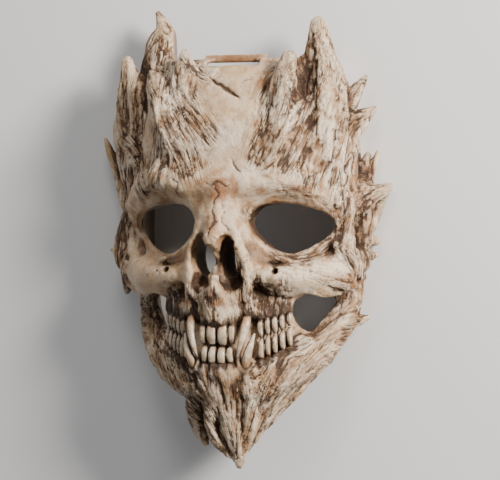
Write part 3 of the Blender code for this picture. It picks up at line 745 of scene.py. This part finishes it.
class Flow:
    """The way the fibres run all over the mask, and noise drawn out along them."""

    def __init__(self, clay, runs):
        count = np.ceil((clay.count - 1) * clay.step / FLOW_STEP).astype(int) + 1
        self.low = clay.low
        spots = np.indices(count).reshape(3, -1).T * FLOW_STEP + self.low
        close = np.abs(sample(clay.field, clay.low, clay.step, spots)) < FLOW_REACH
        spots = spots[close]
        bend = Noise(51)
        sway = 0.2 * np.stack([bend(spots + 40 * k, 13.0) for k in range(3)], 1)
        sums = 0.004 * self.pairs(sway + (0, 1, 0))
        for run in runs:
            index, weight, by_run = run_weight(spots, run)
            if len(index):
                sums[index] += weight[:, None] ** 3 * self.pairs(by_run[-1] + sway[index])
        sums /= np.maximum(sums[:, :3].sum(1), 1e-9)[:, None]
        self.grid = np.zeros((*count, 6), np.float32)
        self.grid[close.reshape(count)] = sums
        self.noises = [Noise(60 + k) for k in range(len(FIBRES))]

    def pairs(self, heading):
        """The products of a direction with itself, which are the same for its opposite."""
        x, y, z = heading.T
        return np.stack([x * x, y * y, z * z, x * y, x * z, y * z], 1)

    def steered(self, points, heading, times=1):
        """The heading drawn toward the way the fibres run at the points."""
        xx, yy, zz, xy, xz, yz = sample(self.grid, self.low, FLOW_STEP, points).T
        for _ in range(times):
            x, y, z = heading.T
            heading = np.stack([xx * x + xy * y + xz * z, xy * x + yy * y + yz * z,
                                xz * x + yz * y + zz * z], 1) + heading * 0.02
            heading /= np.maximum(np.linalg.norm(heading, axis=1), 1e-9)[:, None]
        return heading

    def __call__(self, all_points, chosen):
        """Wide, narrow and thin fibres, each between about -1 and 1, at the chosen points."""
        points = all_points[chosen]
        totals = [noise(points, size) for noise, (size, _, _) in zip(self.noises, FIBRES)]
        start = self.steered(points, np.tile((0.15, 1.0, 0.2), (len(points), 1)), 6)
        for sense in (1, -1):
            here = points.copy()
            heading = start * sense
            for i in range(1, 1 + max(strides for _, _, strides in FIBRES)):
                if i % 2:
                    heading = self.steered(here, heading)
                here = here + heading * STRIDE
                for k, (size, apart, strides) in enumerate(FIBRES):
                    if i <= strides and i % apart == 0:
                        totals[k] = totals[k] + self.noises[k](here, size)
        fibres = np.zeros((len(FIBRES), len(all_points)))
        fibres[:, chosen] = [0.36 * total / total.std() for total in totals]
        return fibres


class Strands:
    """How strongly fibres show at each place, and the grain they follow."""

    def __init__(self, runs):
        self.runs = runs
        self.wave = Noise(12)

    def __call__(self, points):
        """The fibres' strength, the grain's place and how sure that is."""
        total, second = np.zeros((2, len(points)))
        grain = points * 0.6
        strongest = np.full(len(points), 0.12)
        for i, run in enumerate(self.runs):
            index, weight, by_run = run_weight(points, run)
            if not len(index):
                continue
            far, angle, aside, _, out, _, _ = by_run
            turn, mean = run[3:]
            if turn is None:
                along, across, out = far, aside, out * 0.1
            else:
                lead = math.radians(turn)
                along = far * math.cos(lead) + angle * mean * math.sin(lead)
                across = angle * mean * math.cos(lead) - far * math.sin(lead)
            place = np.stack([along * 0.085 + i * 17.3, across, out * 0.25 + i * 5.1], 1)
            place[:, 1] += 1.8 * self.wave(place * (1, 0.25, 1) + 40, 4.0)
            total[index] += weight
            leads = weight > strongest[index]
            second[index] = np.where(leads, strongest[index], np.maximum(second[index], weight))
            chosen = index[leads]
            grain[chosen] = place[leads]
            strongest[chosen] = weight[leads]
        sure = np.clip((strongest - second) / (0.25 * strongest), 0, 1) ** 1.5
        return np.clip(total, 0, 1), grain, sure


def seen_at(points):
    """Where points appear in the photograph, in its pixels."""
    across = points[:, 0] * math.cos(PHOTO_TURN) - points[:, 2] * math.sin(PHOTO_TURN)
    u = PHOTO_MIDDLE[0] + across / PHOTO_SCALE
    v = PHOTO_MIDDLE[1] - points[:, 1] / PHOTO_SCALE
    return np.stack([u, v], 1)


def near_line(places, line):
    """Distance of places to a bent line, and how far along it they are from 0 to 1."""
    ring = np.array(line, float)
    best = np.full(len(places), 1e9)
    share = np.zeros(len(places))
    for i, (a, b) in enumerate(zip(ring, ring[1:])):
        run = b - a
        t = np.clip((places - a) @ run / (run @ run), 0, 1)
        d = np.hypot(*(places - a - t[:, None] * run).T)
        share = np.where(d < best, (i + t) / (len(ring) - 1), share)
        best = np.minimum(best, d)
    return best, share


# Marks of age where the photograph shows them, in its pixels: line, half width, depth in mm
CRACKS = (
    (((211, 78), (217, 84), (226, 89), (239, 100)), 2.2, 1.5),
    (((231, 160), (235, 166), (240, 173)), 1.3, 0.6),
    (((218, 181), (216, 189), (219, 195), (214, 202), (214, 213)), 1.1, 0.7),
    (((205, 182), (211, 186), (218, 184), (227, 187), (236, 184)), 1.0, 0.6),
    (((215, 202), (213, 212), (216, 222), (211, 230), (209, 238)), 1.2, 0.8),
    (((222, 204), (225, 214), (222, 222), (227, 228), (230, 232)), 1.0, 0.6),
    (((357, 150), (350, 160), (344, 168), (338, 178), (331, 187)), 1.2, 0.7),
    (((344, 165), (347, 180), (341, 194), (345, 210), (342, 230)), 1.2, 0.7),
    (((155, 40), (158, 44), (163, 47)), 1.4, 0.9),
    (((273, 180), (280, 184), (286, 195)), 0.9, 0.4),
    (((276, 186), (284, 188), (290, 190)), 0.9, 0.4),
    (((170, 176), (178, 183), (176, 192), (184, 199)), 0.9, 0.5),
    (((262, 96), (258, 112), (262, 128), (256, 146)), 0.8, 0.45),
    (((206, 120), (203, 134), (209, 150)), 0.8, 0.4),
    (((270, 262), (276, 268), (274, 275)), 1.6, 0.8),
    (((374, 190), (368, 194), (362, 201)), 1.6, 1.1),
    (((373, 197), (366, 203), (360, 211)), 1.6, 1.1),
    (((370, 205), (364, 211), (358, 217)), 1.4, 0.9),
    (((359, 158), (360, 170), (358, 182)), 0.9, 0.6),
    (((365, 154), (366, 168), (364, 180)), 0.9, 0.6),
    (((240, 84), (250, 80), (258, 72)), 0.8, 0.4),
    (((244, 88), (240, 94), (243, 101)), 0.7, 0.3),
    (((340, 248), (350, 262), (356, 276)), 1.0, 0.6),
    (((318, 262), (326, 258), (334, 262)), 0.8, 0.4),
    (((300, 296), (314, 292), (332, 296)), 0.9, 0.4),
)
# Stains: middle, reach in both directions and strength
STAINS = (
    (221, 189, 22, 15, 0.9),
    (232, 57, 38, 6, 0.9),
    (262, 84, 16, 13, 0.6),
    (244, 120, 26, 14, 0.22),
    (300, 140, 16, 26, 0.25),
    (200, 110, 10, 26, 0.35),
    (262, 150, 8, 30, 0.25),
    (312, 190, 30, 5, 0.5),
    (265, 178, 8, 10, 0.4),
    (214, 222, 8, 22, 0.45),
    (289, 216, 52, 30, 0.35),
    (146, 222, 40, 30, 0.35),
    (364, 168, 16, 20, 0.8),
    (349, 282, 13, 9, 0.9),
    (304, 88, 9, 28, 0.5),
    (352, 150, 12, 30, 0.2),
    (232, 300, 66, 10, 0.3),
    (246, 372, 12, 10, 0.5),
    (224, 400, 50, 20, 0.35),
)
# Dark hollows painted in: middle, reach in both directions and strength
SHADES = (
    (198, 280, 7, 10, 1.1), (234, 281, 8, 10, 1.1), (203, 257, 10, 20, 0.75), (226, 258, 9, 19, 0.7),
    (250, 322, 4, 10, 0.5), (306, 82, 8, 18, 0.65), (194, 92, 6, 12, 0.35), (142, 66, 7, 12, 0.4),
    (166, 224, 32, 22, 0.25), (288, 226, 46, 27, 0.2),
    (219, 187, 19, 7, 0.45), (362, 208, 8, 14, 0.25), (170, 300, 24, 14, 0.2),
)
# Patches of small pores: middle, reach in both directions
POROUS = (
    (303, 274, 13, 8), (320, 282, 12, 8), (236, 251, 6, 6), (246, 259, 6, 6),
    (150, 272, 16, 8), (196, 300, 18, 8), (252, 302, 18, 8), (262, 384, 22, 10), (190, 384, 14, 12),
)


def patches(places, rows, fall, power=1.0):
    """How much of the strongest patch each place has, fading to 0 past its reach."""
    most = np.zeros(len(places))
    for u, v, ru, rv, *strength in rows:
        q = ((places[:, 0] - u) / ru) ** 2 + ((places[:, 1] - v) / rv) ** 2
        most = np.maximum(most, (strength[0] if strength else 1) * np.exp(-fall * q**power))
    return most


class Marks:
    """Cracks, stains and pores at the places where the photograph shows them."""

    def __init__(self):
        self.ragged = Noise(21)
        self.holes = Noise(22)

    def __call__(self, points, normals):
        places = seen_at(points)
        spread = np.stack([self.ragged(points, 3.1), self.ragged(points + 50, 3.1)], 1)
        places = places + 1.6 * spread + 0.7 * np.stack([self.ragged(points + 9, 1.2)] * 2, 1)
        toward = normals[:, 0] * math.sin(PHOTO_TURN) + normals[:, 2] * math.cos(PHOTO_TURN)
        front = np.clip(toward * 2.5, 0, 1) * np.clip(points[:, 2] / 4, 0, 1)
        depth, crack = np.zeros((2, len(points)))
        for line, half, deep in CRACKS:
            box_low = np.min(line, axis=0) - 8
            box_high = np.max(line, axis=0) + 8
            index = np.nonzero(np.all((places > box_low) & (places < box_high), axis=1))[0]
            if not len(index):
                continue
            d, share = near_line(places[index], line)
            width = half * (0.35 + 0.9 * np.sin(np.pi * np.clip(share, 0.02, 0.98)))
            cut = np.clip(1.25 - d / width, 0, 1) * front[index]
            depth[index] = np.maximum(depth[index], deep * cut)
            crack[index] = np.maximum(crack[index], cut * min(1, deep / 0.7))
        pores = patches(places, POROUS, 1.4) * front
        spots = np.clip(self.holes(points, 2.2) * 3 - 1.1, 0, 1) * np.clip(pores * 1.4, 0, 1)
        stain = patches(places, STAINS, 1.2) * front
        shade = patches(places, SHADES, 1.0, 1.5) * front
        return depth + 0.8 * spots, np.maximum(crack, spots * 0.8), stain, shade, pores


def make_mesh(name, points, faces):
    mesh = bpy.data.meshes.new(name)
    mesh.vertices.add(len(points))
    mesh.vertices.foreach_set("co", np.asarray(points, np.float32).ravel())
    mesh.loops.add(faces.size)
    mesh.loops.foreach_set("vertex_index", faces.astype(np.int32).ravel())
    mesh.polygons.add(len(faces))
    mesh.polygons.foreach_set("loop_start", np.arange(0, faces.size, faces.shape[1], dtype=np.int32))
    mesh.update(calc_edges=True)
    made = bpy.data.objects.new(name, mesh)
    bpy.context.scene.collection.objects.link(made)
    return made


def points_of(mesh):
    flat = np.empty(len(mesh.vertices) * 3, np.float32)
    mesh.vertices.foreach_get("co", flat)
    return flat.reshape(-1, 3).astype(float)


def thin_out(obj, triangles, spare):
    """Thin the mesh out to the number of triangles, more where the spare weights are high."""
    group = obj.vertex_groups.new(name="spare")
    levels = np.clip(np.round(spare * 10).astype(int), 1, 10)
    for level in range(1, 11):
        chosen = np.nonzero(levels == level)[0]
        if len(chosen):
            group.add(chosen.tolist(), level / 10, "REPLACE")
    count = sum(len(p.vertices) - 2 for p in obj.data.polygons)
    thin = obj.modifiers.new("thin", "DECIMATE")
    thin.ratio = min(1, triangles / count)
    thin.use_collapse_triangulate = True
    thin.vertex_group = group.name
    thin.vertex_group_factor = SPARE_FACTOR
    bpy.context.view_layer.update()
    graph = bpy.context.evaluated_depsgraph_get()
    mesh = bpy.data.meshes.new_from_object(obj.evaluated_get(graph))
    obj.modifiers.clear()
    old = obj.data
    obj.data = mesh
    bpy.data.meshes.remove(old)
    obj.vertex_groups.clear()


def keep_largest(points, faces):
    """Drop every loose crumb and keep the one large body."""
    label = np.arange(len(points))
    while True:
        lowest = label[faces].min(1)
        before = label.copy()
        for column in range(faces.shape[1]):
            np.minimum.at(label, faces[:, column], lowest)
        label = label[label]
        if np.array_equal(label, before):
            break
    names, sizes = np.unique(label, return_counts=True)
    good = label == names[np.argmax(sizes)]
    renumber = np.cumsum(good) - 1
    return points[good], renumber[faces[good[faces].all(1)]]


def write_down(mesh, **layers):
    """Keep values or vectors, one a point, under names that the materials read."""
    for name, values in layers.items():
        kind, field = ("FLOAT_VECTOR", "vector") if np.ndim(values) == 2 else ("FLOAT", "value")
        layer = mesh.attributes.new(name, kind, "POINT")
        layer.data.foreach_set(field, np.asarray(values, np.float32).ravel())


def closed_in(clay, points, normals):
    """How shut in each place is, near by and further off, from 0 to 1."""
    near, far = np.zeros((2, len(points)))
    for reach in (2.0, 4.0):
        d = sample(clay.field, clay.low, clay.step, points + normals * reach)
        near += np.clip(1 - d / reach, 0, 1.4) / 2
    for reach in (8.0, 14.0):
        d = sample(clay.field, clay.low, clay.step, points + normals * reach)
        far += np.clip(1 - d / reach, 0, 1.4) / 2
    return np.clip(near, 0, 1), np.clip(far, 0, 1)


def build_shell(clay, inside, solid, teeth_clay):
    """The carved shell: clay to mesh, fibres and cracks pushed in, thinned out, its wear and the painted
    shade of its hollows written down.
    """
    points, faces = surface_of(clay.field, clay.low, clay.step)
    points, faces = keep_largest(points, faces)
    runs = strand_runs()
    flow, strands, marks = Flow(clay, runs), Strands(runs), Marks()
    rough = Noise(31)

    def wall_share(places, normals):
        """1 on the outside of the mask, 0 on its plain inside."""
        depth = sample(inside, clay.low, clay.step, places)
        outward = places * (1, 0, 1)
        outward /= np.maximum(np.linalg.norm(outward, axis=1), 1e-6)[:, None]
        facing = np.einsum("ij,ij->i", normals, outward)
        hidden = np.clip((0.15 - facing) / 0.3, 0, 1) * np.clip((2.5 - depth) / 1.5, 0, 1)
        return 1 - hidden

    normals = normals_at(clay, points)
    outside = wall_share(points, normals)
    wide, narrow, thin = flow(points, outside > 0)
    strength, _, _ = strands(points)
    sunk, _, _, _, _ = marks(points, normals)
    bundles = 2.2 * np.minimum(np.abs(wide), 0.5) ** 0.8 - 0.75
    fibres = 1.9 * np.minimum(np.abs(narrow), 0.45) ** 0.8 - 0.55
    threads = 1.5 * np.minimum(np.abs(thin), 0.4) - 0.3
    swell = rough(points, 14.0) * 0.5 + rough(points + 31, 6.0) * 0.35 + rough(points + 77, 2.6) * 0.2
    worn = 0.5 - 2.2 * np.abs(rough(points + 13, 4.5)) + 0.5 - 1.6 * np.abs(rough(points + 57, 2.4))
    nose = np.exp(-(points[:, 0] / 19) ** 6 - ((points[:, 1] + 14) / 24) ** 6) * (points[:, 2] > 55)
    push = strength * (0.85 * bundles + 0.85 * fibres + 0.65 * threads) + 0.4 * swell - sunk
    push += 0.2 * worn * (1 - 0.6 * strength) + nose * (1.1 * rough(points, 4.2) + 0.8 * rough(points, 2.2))
    push *= (1 - 0.8 * near_tips(points)) * outside * np.clip((points[:, 2] - 0.6) / 3, 0, 1)
    slot = np.all((points > np.array(BAR_LOW) - 5) & (points < np.array(BAR_HIGH) + 5), axis=1)
    push[slot] *= 0.15
    points = points + normals * push[:, None]

    shell = make_mesh("mask_shell", points, faces)
    thin_out(shell, SHELL_TRIANGLES, 0.3 + 0.7 * (1 - outside) - 0.2 * strength)
    mesh = shell.data
    places = points_of(mesh)
    normals = normals_at(clay, places)
    outside = wall_share(places, normals)
    wide, narrow, thin = flow(places, outside > 0)
    strength, grain, sure = strands(places)
    _, crack, stain, shade, pores = marks(places, normals)
    # near and far: how shut in each place is, which the bone material paints as shade
    near, far = closed_in(clay, places, normals)
    bundles = np.clip(1 - np.abs(wide) * 5.0, 0, 1) * strength
    fibres = np.clip(1 - np.abs(narrow) * 4.5, 0, 1) * strength
    threads = np.clip(1 - np.abs(thin) * 4, 0, 1) * strength
    # buried and by_teeth: depth in the hollows and closeness to the teeth, which the bone material paints as
    # shade
    buried = -sample(solid, clay.low, clay.step, places) - 1.5
    by_teeth = np.full(len(places), 9.0)
    low, high = teeth_clay.low, teeth_clay.low + teeth_clay.step * (teeth_clay.count - 1)
    close = np.all((places > low) & (places < high), axis=1)
    by_teeth[close] = sample(teeth_clay.field, low, teeth_clay.step, places[close])
    tone = (0.25 * wide + 0.5 * narrow + 0.45 * thin) * (0.25 + 0.75 * strength)
    write_down(
        mesh,
        near=near,
        far=far,
        crack=crack * outside,
        stain=stain * outside,
        shade=shade * outside,
        pores=pores * outside,
        strength=strength * outside,
        sure=sure * outside,
        tone=0.5 + tone,
        groove=np.clip(0.6 * bundles + 0.7 * fibres + 0.5 * threads, 0, 1) * outside,
        ridge=np.clip(np.abs(wide) * 1.6 + np.abs(narrow) * 0.8, 0, 1),
        buried=np.clip(buried / 12, 0, 1) * outside,
        by_teeth=np.clip(1.2 - by_teeth / 3.2, 0, 1) * outside,
        tip=near_tips(places),
        outside=outside,
        grain=grain,
        place=places,
    )
    return shell


def build_teeth(clay, shell_clay):
    points, faces = surface_of(clay.field, clay.low, clay.step)
    uneven = Noise(41)
    normals = normals_at(clay, points)
    along = points * (1.5, 0.25, 1.5)
    points = points + normals * (0.16 * uneven(points, 3.0) + 0.1 * uneven(along, 1.3))[:, None]
    teeth = make_mesh("mask_teeth", points, faces)
    thin_out(teeth, TEETH_TRIANGLES, np.zeros(len(points)))
    mesh = teeth.data
    places = points_of(mesh)
    x, y = np.abs(places[:, 0]), places[:, 1]
    line = np.interp(x, (0, 14, 26, 40), (-63.6, -62, -58.6, -52))
    root = np.clip((np.abs(y - line) - 7) / 7, 0, 1)
    # near and gum: closeness between the teeth and to the bone, which the tooth material paints as shade
    near, far = closed_in(clay, places, normals_at(clay, places))
    gum = sample(shell_clay.field, shell_clay.low, shell_clay.step, places)
    write_down(mesh, near=near, gum=np.clip(1.1 - gum / 1.5, 0, 1), root=root, place=places)
    return teeth


class Nodes:
    """Short ways to add and join the nodes of one material."""

    def __init__(self, name):
        self.material = bpy.data.materials.new(name)
        self.material.use_nodes = True
        self.tree = self.material.node_tree
        self.shader = self.tree.nodes["Principled BSDF"]

    def new(self, kind, **settings):
        node = self.tree.nodes.new(kind)
        for name, value in settings.items():
            setattr(node, name, value)
        return node

    def put(self, value, socket):
        if hasattr(value, "is_output"):
            self.tree.links.new(value, socket)
        else:
            socket.default_value = value

    def value(self, name):
        return self.new("ShaderNodeAttribute", attribute_name=name).outputs["Fac"]

    def vector(self, name):
        return self.new("ShaderNodeAttribute", attribute_name=name).outputs["Vector"]

    def math(self, operation, a, b=0.0):
        node = self.new("ShaderNodeMath", operation=operation)
        self.put(a, node.inputs[0])
        self.put(b, node.inputs[1])
        return node.outputs[0]

    def times(self, *values):
        return reduce(lambda a, b: self.math("MULTIPLY", a, b), values)

    def total(self, *terms):
        """The sum of the terms, where a term in brackets is a product."""
        values = [self.times(*term) if isinstance(term, tuple) else term for term in terms]
        return reduce(lambda a, b: self.math("ADD", a, b), values)

    def spread(self, value, low, high, to_low=0.0, to_high=1.0):
        """The value's range from low to high made to run between two others."""
        node = self.new("ShaderNodeMapRange", interpolation_type="SMOOTHSTEP")
        for socket, given in zip(node.inputs, (value, low, high, to_low, to_high)):
            self.put(given, socket)
        return node.outputs[0]

    def noise(self, vector, scale, detail=3.0, roughness=0.55):
        node = self.new("ShaderNodeTexNoise")
        self.put(vector, node.inputs["Vector"])
        node.inputs["Scale"].default_value = scale
        node.inputs["Detail"].default_value = detail
        node.inputs["Roughness"].default_value = roughness
        return node.outputs["Fac"]

    def mix(self, share, a, b):
        node = self.new("ShaderNodeMix", data_type="RGBA")
        self.put(share, node.inputs[0])
        self.put(a, node.inputs[6])
        self.put(b, node.inputs[7])
        return node.outputs[2]

    def lines(self, vector, scale, width):
        """Thin lines, 1 along the middle of each, where the noise crosses its mean."""
        off = self.math("ABSOLUTE", self.math("SUBTRACT", self.noise(vector, scale, 2, 0.5), 0.5))
        return self.spread(off, 0, width, 1, 0)

    def bump(self, height, distance, strength, normal=None):
        node = self.new("ShaderNodeBump")
        node.inputs["Distance"].default_value = distance
        node.inputs["Strength"].default_value = strength
        self.put(height, node.inputs["Height"])
        if normal is not None:
            self.put(normal, node.inputs["Normal"])
        return node.outputs["Normal"]


BRUSHED_AND_HIGHLIGHT = (0.86, 0.72, 0.55, 1)
IVORY = (0.80, 0.645, 0.48, 1)
CREAM = (0.60, 0.42, 0.27, 1)
TAN = (0.38, 0.205, 0.095, 1)
OCHRE = (0.60, 0.37, 0.17, 1)
RUST = (0.27, 0.105, 0.038, 1)
UMBER = (0.055, 0.026, 0.013, 1)
INSIDE_RESIN_AND_SHADE = (0.20, 0.15, 0.11, 1)
ENAMEL = (0.66, 0.54, 0.40, 1)
OLD_ENAMEL = (0.44, 0.31, 0.19, 1)
TOOTH_GRAIN = (1.0, 0.18, 1.0)
PALE_GREY = (0.78, 0.775, 0.77, 1)
PALER_GREY = (0.82, 0.815, 0.81, 1)

# The studio's lights: place, size, power and colour
LIGHTS = {
    "key": ((0.95, 0.45, 0.6), 0.34, 31, (1.0, 0.955, 0.90)),
    "fill": ((-0.8, 0.0, 0.9), 0.9, 1.2, (0.92, 0.95, 1.0)),
    "top": ((0.1, 0.95, 0.9), 0.5, 5, (1.0, 0.97, 0.94)),
}
FLOOR_SIZE = 4
SKY = (0.9, 0.92, 0.95, 1)
SKY_STRENGTH = 0.2


def bone_material():
    """Bone painted on resin: ivory on the high places, partly a painted highlight; tan washes and umber down
    in the furrows and hollows, partly painted shade.
    """
    n = Nodes("painted_bone")
    place, grain = n.vector("place"), n.vector("grain")
    clouds = n.noise(place, 0.04, 4)
    blotches = n.noise(place, 0.13, 5, 0.62)
    near, far, groove, ridge, tone = (n.value(name) for name in ("near", "far", "groove", "ridge", "tone"))
    crack, stain, strength, buried = (n.value(name) for name in ("crack", "stain", "strength", "buried"))
    sure = n.value("sure")
    streaks = n.total((n.total(n.noise(grain, 0.3, 4, 0.6), -0.5), sure), 0.5)
    hairs = n.times(n.lines(grain, 0.55, 0.07), sure)
    fine_hairs = n.times(n.lines(grain, 1.2, 0.09), sure)
    tip = n.spread(n.total(n.value("tip"), n.spread(blotches, 0.3, 0.7, -0.2, 0.2)), 0.15, 0.75)

    # Tan wash of stains, blotches and streaks, with painted shade where a place is shut in or sunk in a
    # hollow
    tan_wash_and_shade = n.total(
        (far, 0.7), (stain, 0.75), (buried, 1.1), n.spread(blotches, 0.42, 0.68, 0, 0.5),
        (n.total(1.0, (ridge, -1.0)), strength, 0.3), n.spread(tone, 0.5, 1.0, 0, 0.45),
        (n.spread(streaks, 0.45, 0.68), strength, 0.45), (tip, -0.35),
    )
    warm = n.times(n.spread(n.noise(place, 0.028, 3), 0.44, 0.6), n.spread(blotches, 0.35, 0.6, 0.3, 0.75))
    colour = n.mix(n.spread(clouds, 0.35, 0.65), IVORY, CREAM)
    colour = n.mix(n.times(warm, 0.8), colour, OCHRE)
    colour = n.mix(n.spread(tan_wash_and_shade, 0.12, 1.0), colour, TAN)
    rust = n.total(
        (n.spread(stain, 0.2, 0.8), n.spread(blotches, 0.3, 0.6)),
        (n.spread(streaks, 0.55, 0.75), strength, 0.3), (n.spread(tone, 0.7, 1.1), 0.3),
    )
    colour = n.mix(n.times(rust, 0.7), colour, RUST)
    # Dry-brushed ivory on the fibre ridges, partly a painted highlight
    brushed_and_highlight = n.times(
        n.spread(ridge, 0.55, 1.0), n.spread(streaks, 0.35, 0.55, 0.4, 1),
        n.spread(strength, 0.1, 0.7), n.spread(blotches, 0.3, 0.6, 0.75, 0.3),
    )
    colour = n.mix(brushed_and_highlight, colour, BRUSHED_AND_HIGHLIGHT)

    holes = n.spread(n.noise(place, 0.85, 1, 0.5), 0.6, 0.68)
    # Umber in the fibre grooves, hairs, pores and specks, and painted shade in creases, hollows, deep places
    # and next to the teeth
    dirt_and_painted_shade = n.total(
        (groove, 0.7), (near, 0.85), (far, 0.2), (buried, 0.95), (n.value("by_teeth"), 0.85),
        n.value("shade"), (n.total((hairs, 0.4), (fine_hairs, 0.22)), n.total(strength, 0.08)),
        (holes, n.value("pores"), 0.9), n.spread(n.noise(place, 1.1, 3, 0.6), 0.5, 0.75, -0.04, 0.14),
        (tip, -0.12),
    )
    colour = n.mix(n.spread(dirt_and_painted_shade, 0.26, 1.0, 0, 0.97), colour, UMBER)
    colour = n.mix(n.spread(crack, 0.15, 0.75, 0, 0.93), colour, UMBER)
    flecks = n.spread(n.noise(place, 0.75, 2, 0.5), 0.64, 0.71)
    colour = n.mix(n.times(flecks, 0.6), colour, TAN)
    # The plain inside in dark resin, dark partly as painted shade behind the holes
    n.put(n.mix(n.value("outside"), INSIDE_RESIN_AND_SHADE, colour), n.shader.inputs["Base Color"])

    roughness = n.total(n.spread(blotches, 0.3, 0.7, 0.38, 0.56), (dirt_and_painted_shade, 0.2))
    n.put(n.math("MINIMUM", roughness, 1.0), n.shader.inputs["Roughness"])
    n.shader.inputs["Specular IOR Level"].default_value = 0.42

    cut = n.times(n.total(hairs, (fine_hairs, 0.5)), n.total(strength, 0.12))
    normal = n.bump(n.total(streaks, (cut, -1.0)), 0.0007, 0.8)
    normal = n.bump(n.noise(place, 0.8, 4, 0.7), 0.0009, 0.5, normal)
    n.put(normal, n.shader.inputs["Normal"])
    return n.material


def tooth_material():
    n = Nodes("painted_teeth")
    place = n.vector("place")
    stretched = n.new("ShaderNodeVectorMath", operation="MULTIPLY")
    n.put(place, stretched.inputs[0])
    stretched.inputs[1].default_value = TOOTH_GRAIN
    lines = n.noise(stretched.outputs[0], 1.4, 4, 0.6)
    blotches = n.noise(place, 0.3, 4)
    colour = n.mix(n.spread(blotches, 0.35, 0.65), ENAMEL, OLD_ENAMEL)
    root = n.spread(n.total(n.value("root"), n.spread(lines, 0.4, 0.7, -0.2, 0.4)), 0.2, 1.0)
    colour = n.mix(root, colour, TAN)
    # Umber between the teeth and at the gum line as painted shade, with stain lines
    gap_shade_and_stain = n.total((n.value("near"), 1.1), (n.value("gum"), 0.75), n.spread(lines, 0.48, 0.75, 0, 0.38))
    colour = n.mix(n.spread(gap_shade_and_stain, 0.28, 0.95, 0, 0.96), colour, UMBER)
    n.put(colour, n.shader.inputs["Base Color"])
    n.put(n.spread(blotches, 0.3, 0.7, 0.28, 0.45), n.shader.inputs["Roughness"])
    n.put(n.bump(lines, 0.0004, 0.4), n.shader.inputs["Normal"])
    return n.material


def floor_material():
    n = Nodes("pale_floor")
    spot = n.new("ShaderNodeNewGeometry").outputs["Position"]
    grey = n.noise(spot, 3.0, 3)
    n.put(n.mix(grey, PALE_GREY, PALER_GREY), n.shader.inputs["Base Color"])
    n.shader.inputs["Roughness"].default_value = 0.8
    return n.material


def add_light(name, place, aim, size, power, colour):
    lamp = bpy.data.lights.new(name, "AREA")
    lamp.size = size
    lamp.energy = power
    lamp.color = colour
    made = bpy.data.objects.new(name, lamp)
    made.location = place
    made.rotation_euler = (Vector(aim) - Vector(place)).to_track_quat("-Z", "Y").to_euler()
    bpy.context.scene.collection.objects.link(made)


def add_camera(aim):
    camera = bpy.data.cameras.new("camera")
    camera.lens = LENS
    camera.sensor_width = SENSOR
    made = bpy.data.objects.new("camera", camera)
    back = Vector((math.sin(PHOTO_TURN), 0, math.cos(PHOTO_TURN)))
    up = Vector((0, 1, 0))
    side = up.cross(back)
    distance = PHOTO_SIZE[0] * PHOTO_SCALE / 1000 * LENS / SENSOR
    place = Matrix((side, up, back)).transposed().to_4x4()
    made.matrix_world = Matrix.Translation(aim + back * distance) @ place
    bpy.context.scene.collection.objects.link(made)
    bpy.context.scene.camera = made


def main():
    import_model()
    low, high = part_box(NODE)
    coarser = 1
    clay, inside, solid = sculpt_shell(SHELL_STEP * coarser)
    teeth_clay = sculpt_teeth(TEETH_STEP * coarser)
    pieces = [build_shell(clay, inside, solid, teeth_clay), build_teeth(teeth_clay, clay)]

    flat = points_of(pieces[0].data)
    middle = (flat.min(0) + flat.max(0)) / 2
    shift = ((low[0] + high[0]) / 2 - middle[0] / 1000, (low[1] + high[1]) / 2 - middle[1] / 1000, low[2])
    looks = (bone_material(), tooth_material())
    for piece, look in zip(pieces, looks):
        piece.data.transform(Matrix.Translation(shift) @ Matrix.Scale(0.001, 4))
        piece.data.shade_smooth()
        piece.data.materials.append(look)
        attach(piece, "root")
        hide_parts(NODE)

    bpy.ops.mesh.primitive_plane_add(size=FLOOR_SIZE, location=(0, 0, low[2]))
    floor = bpy.context.object
    floor.name = "floor"
    floor.data.materials.append(floor_material())

    aim = Vector((shift[0], shift[1], low[2] + VIEW_DEPTH / 1000))
    add_camera(aim + Vector(VIEW_SHIFT) / 1000)
    for name, (place, size, power, colour) in LIGHTS.items():
        add_light(name, place, aim, size, power, colour)
    world = bpy.data.worlds.new("studio")
    world.use_nodes = True
    sky = world.node_tree.nodes["Background"].inputs
    sky["Color"].default_value = SKY
    sky["Strength"].default_value = SKY_STRENGTH
    bpy.context.scene.world = world


main()
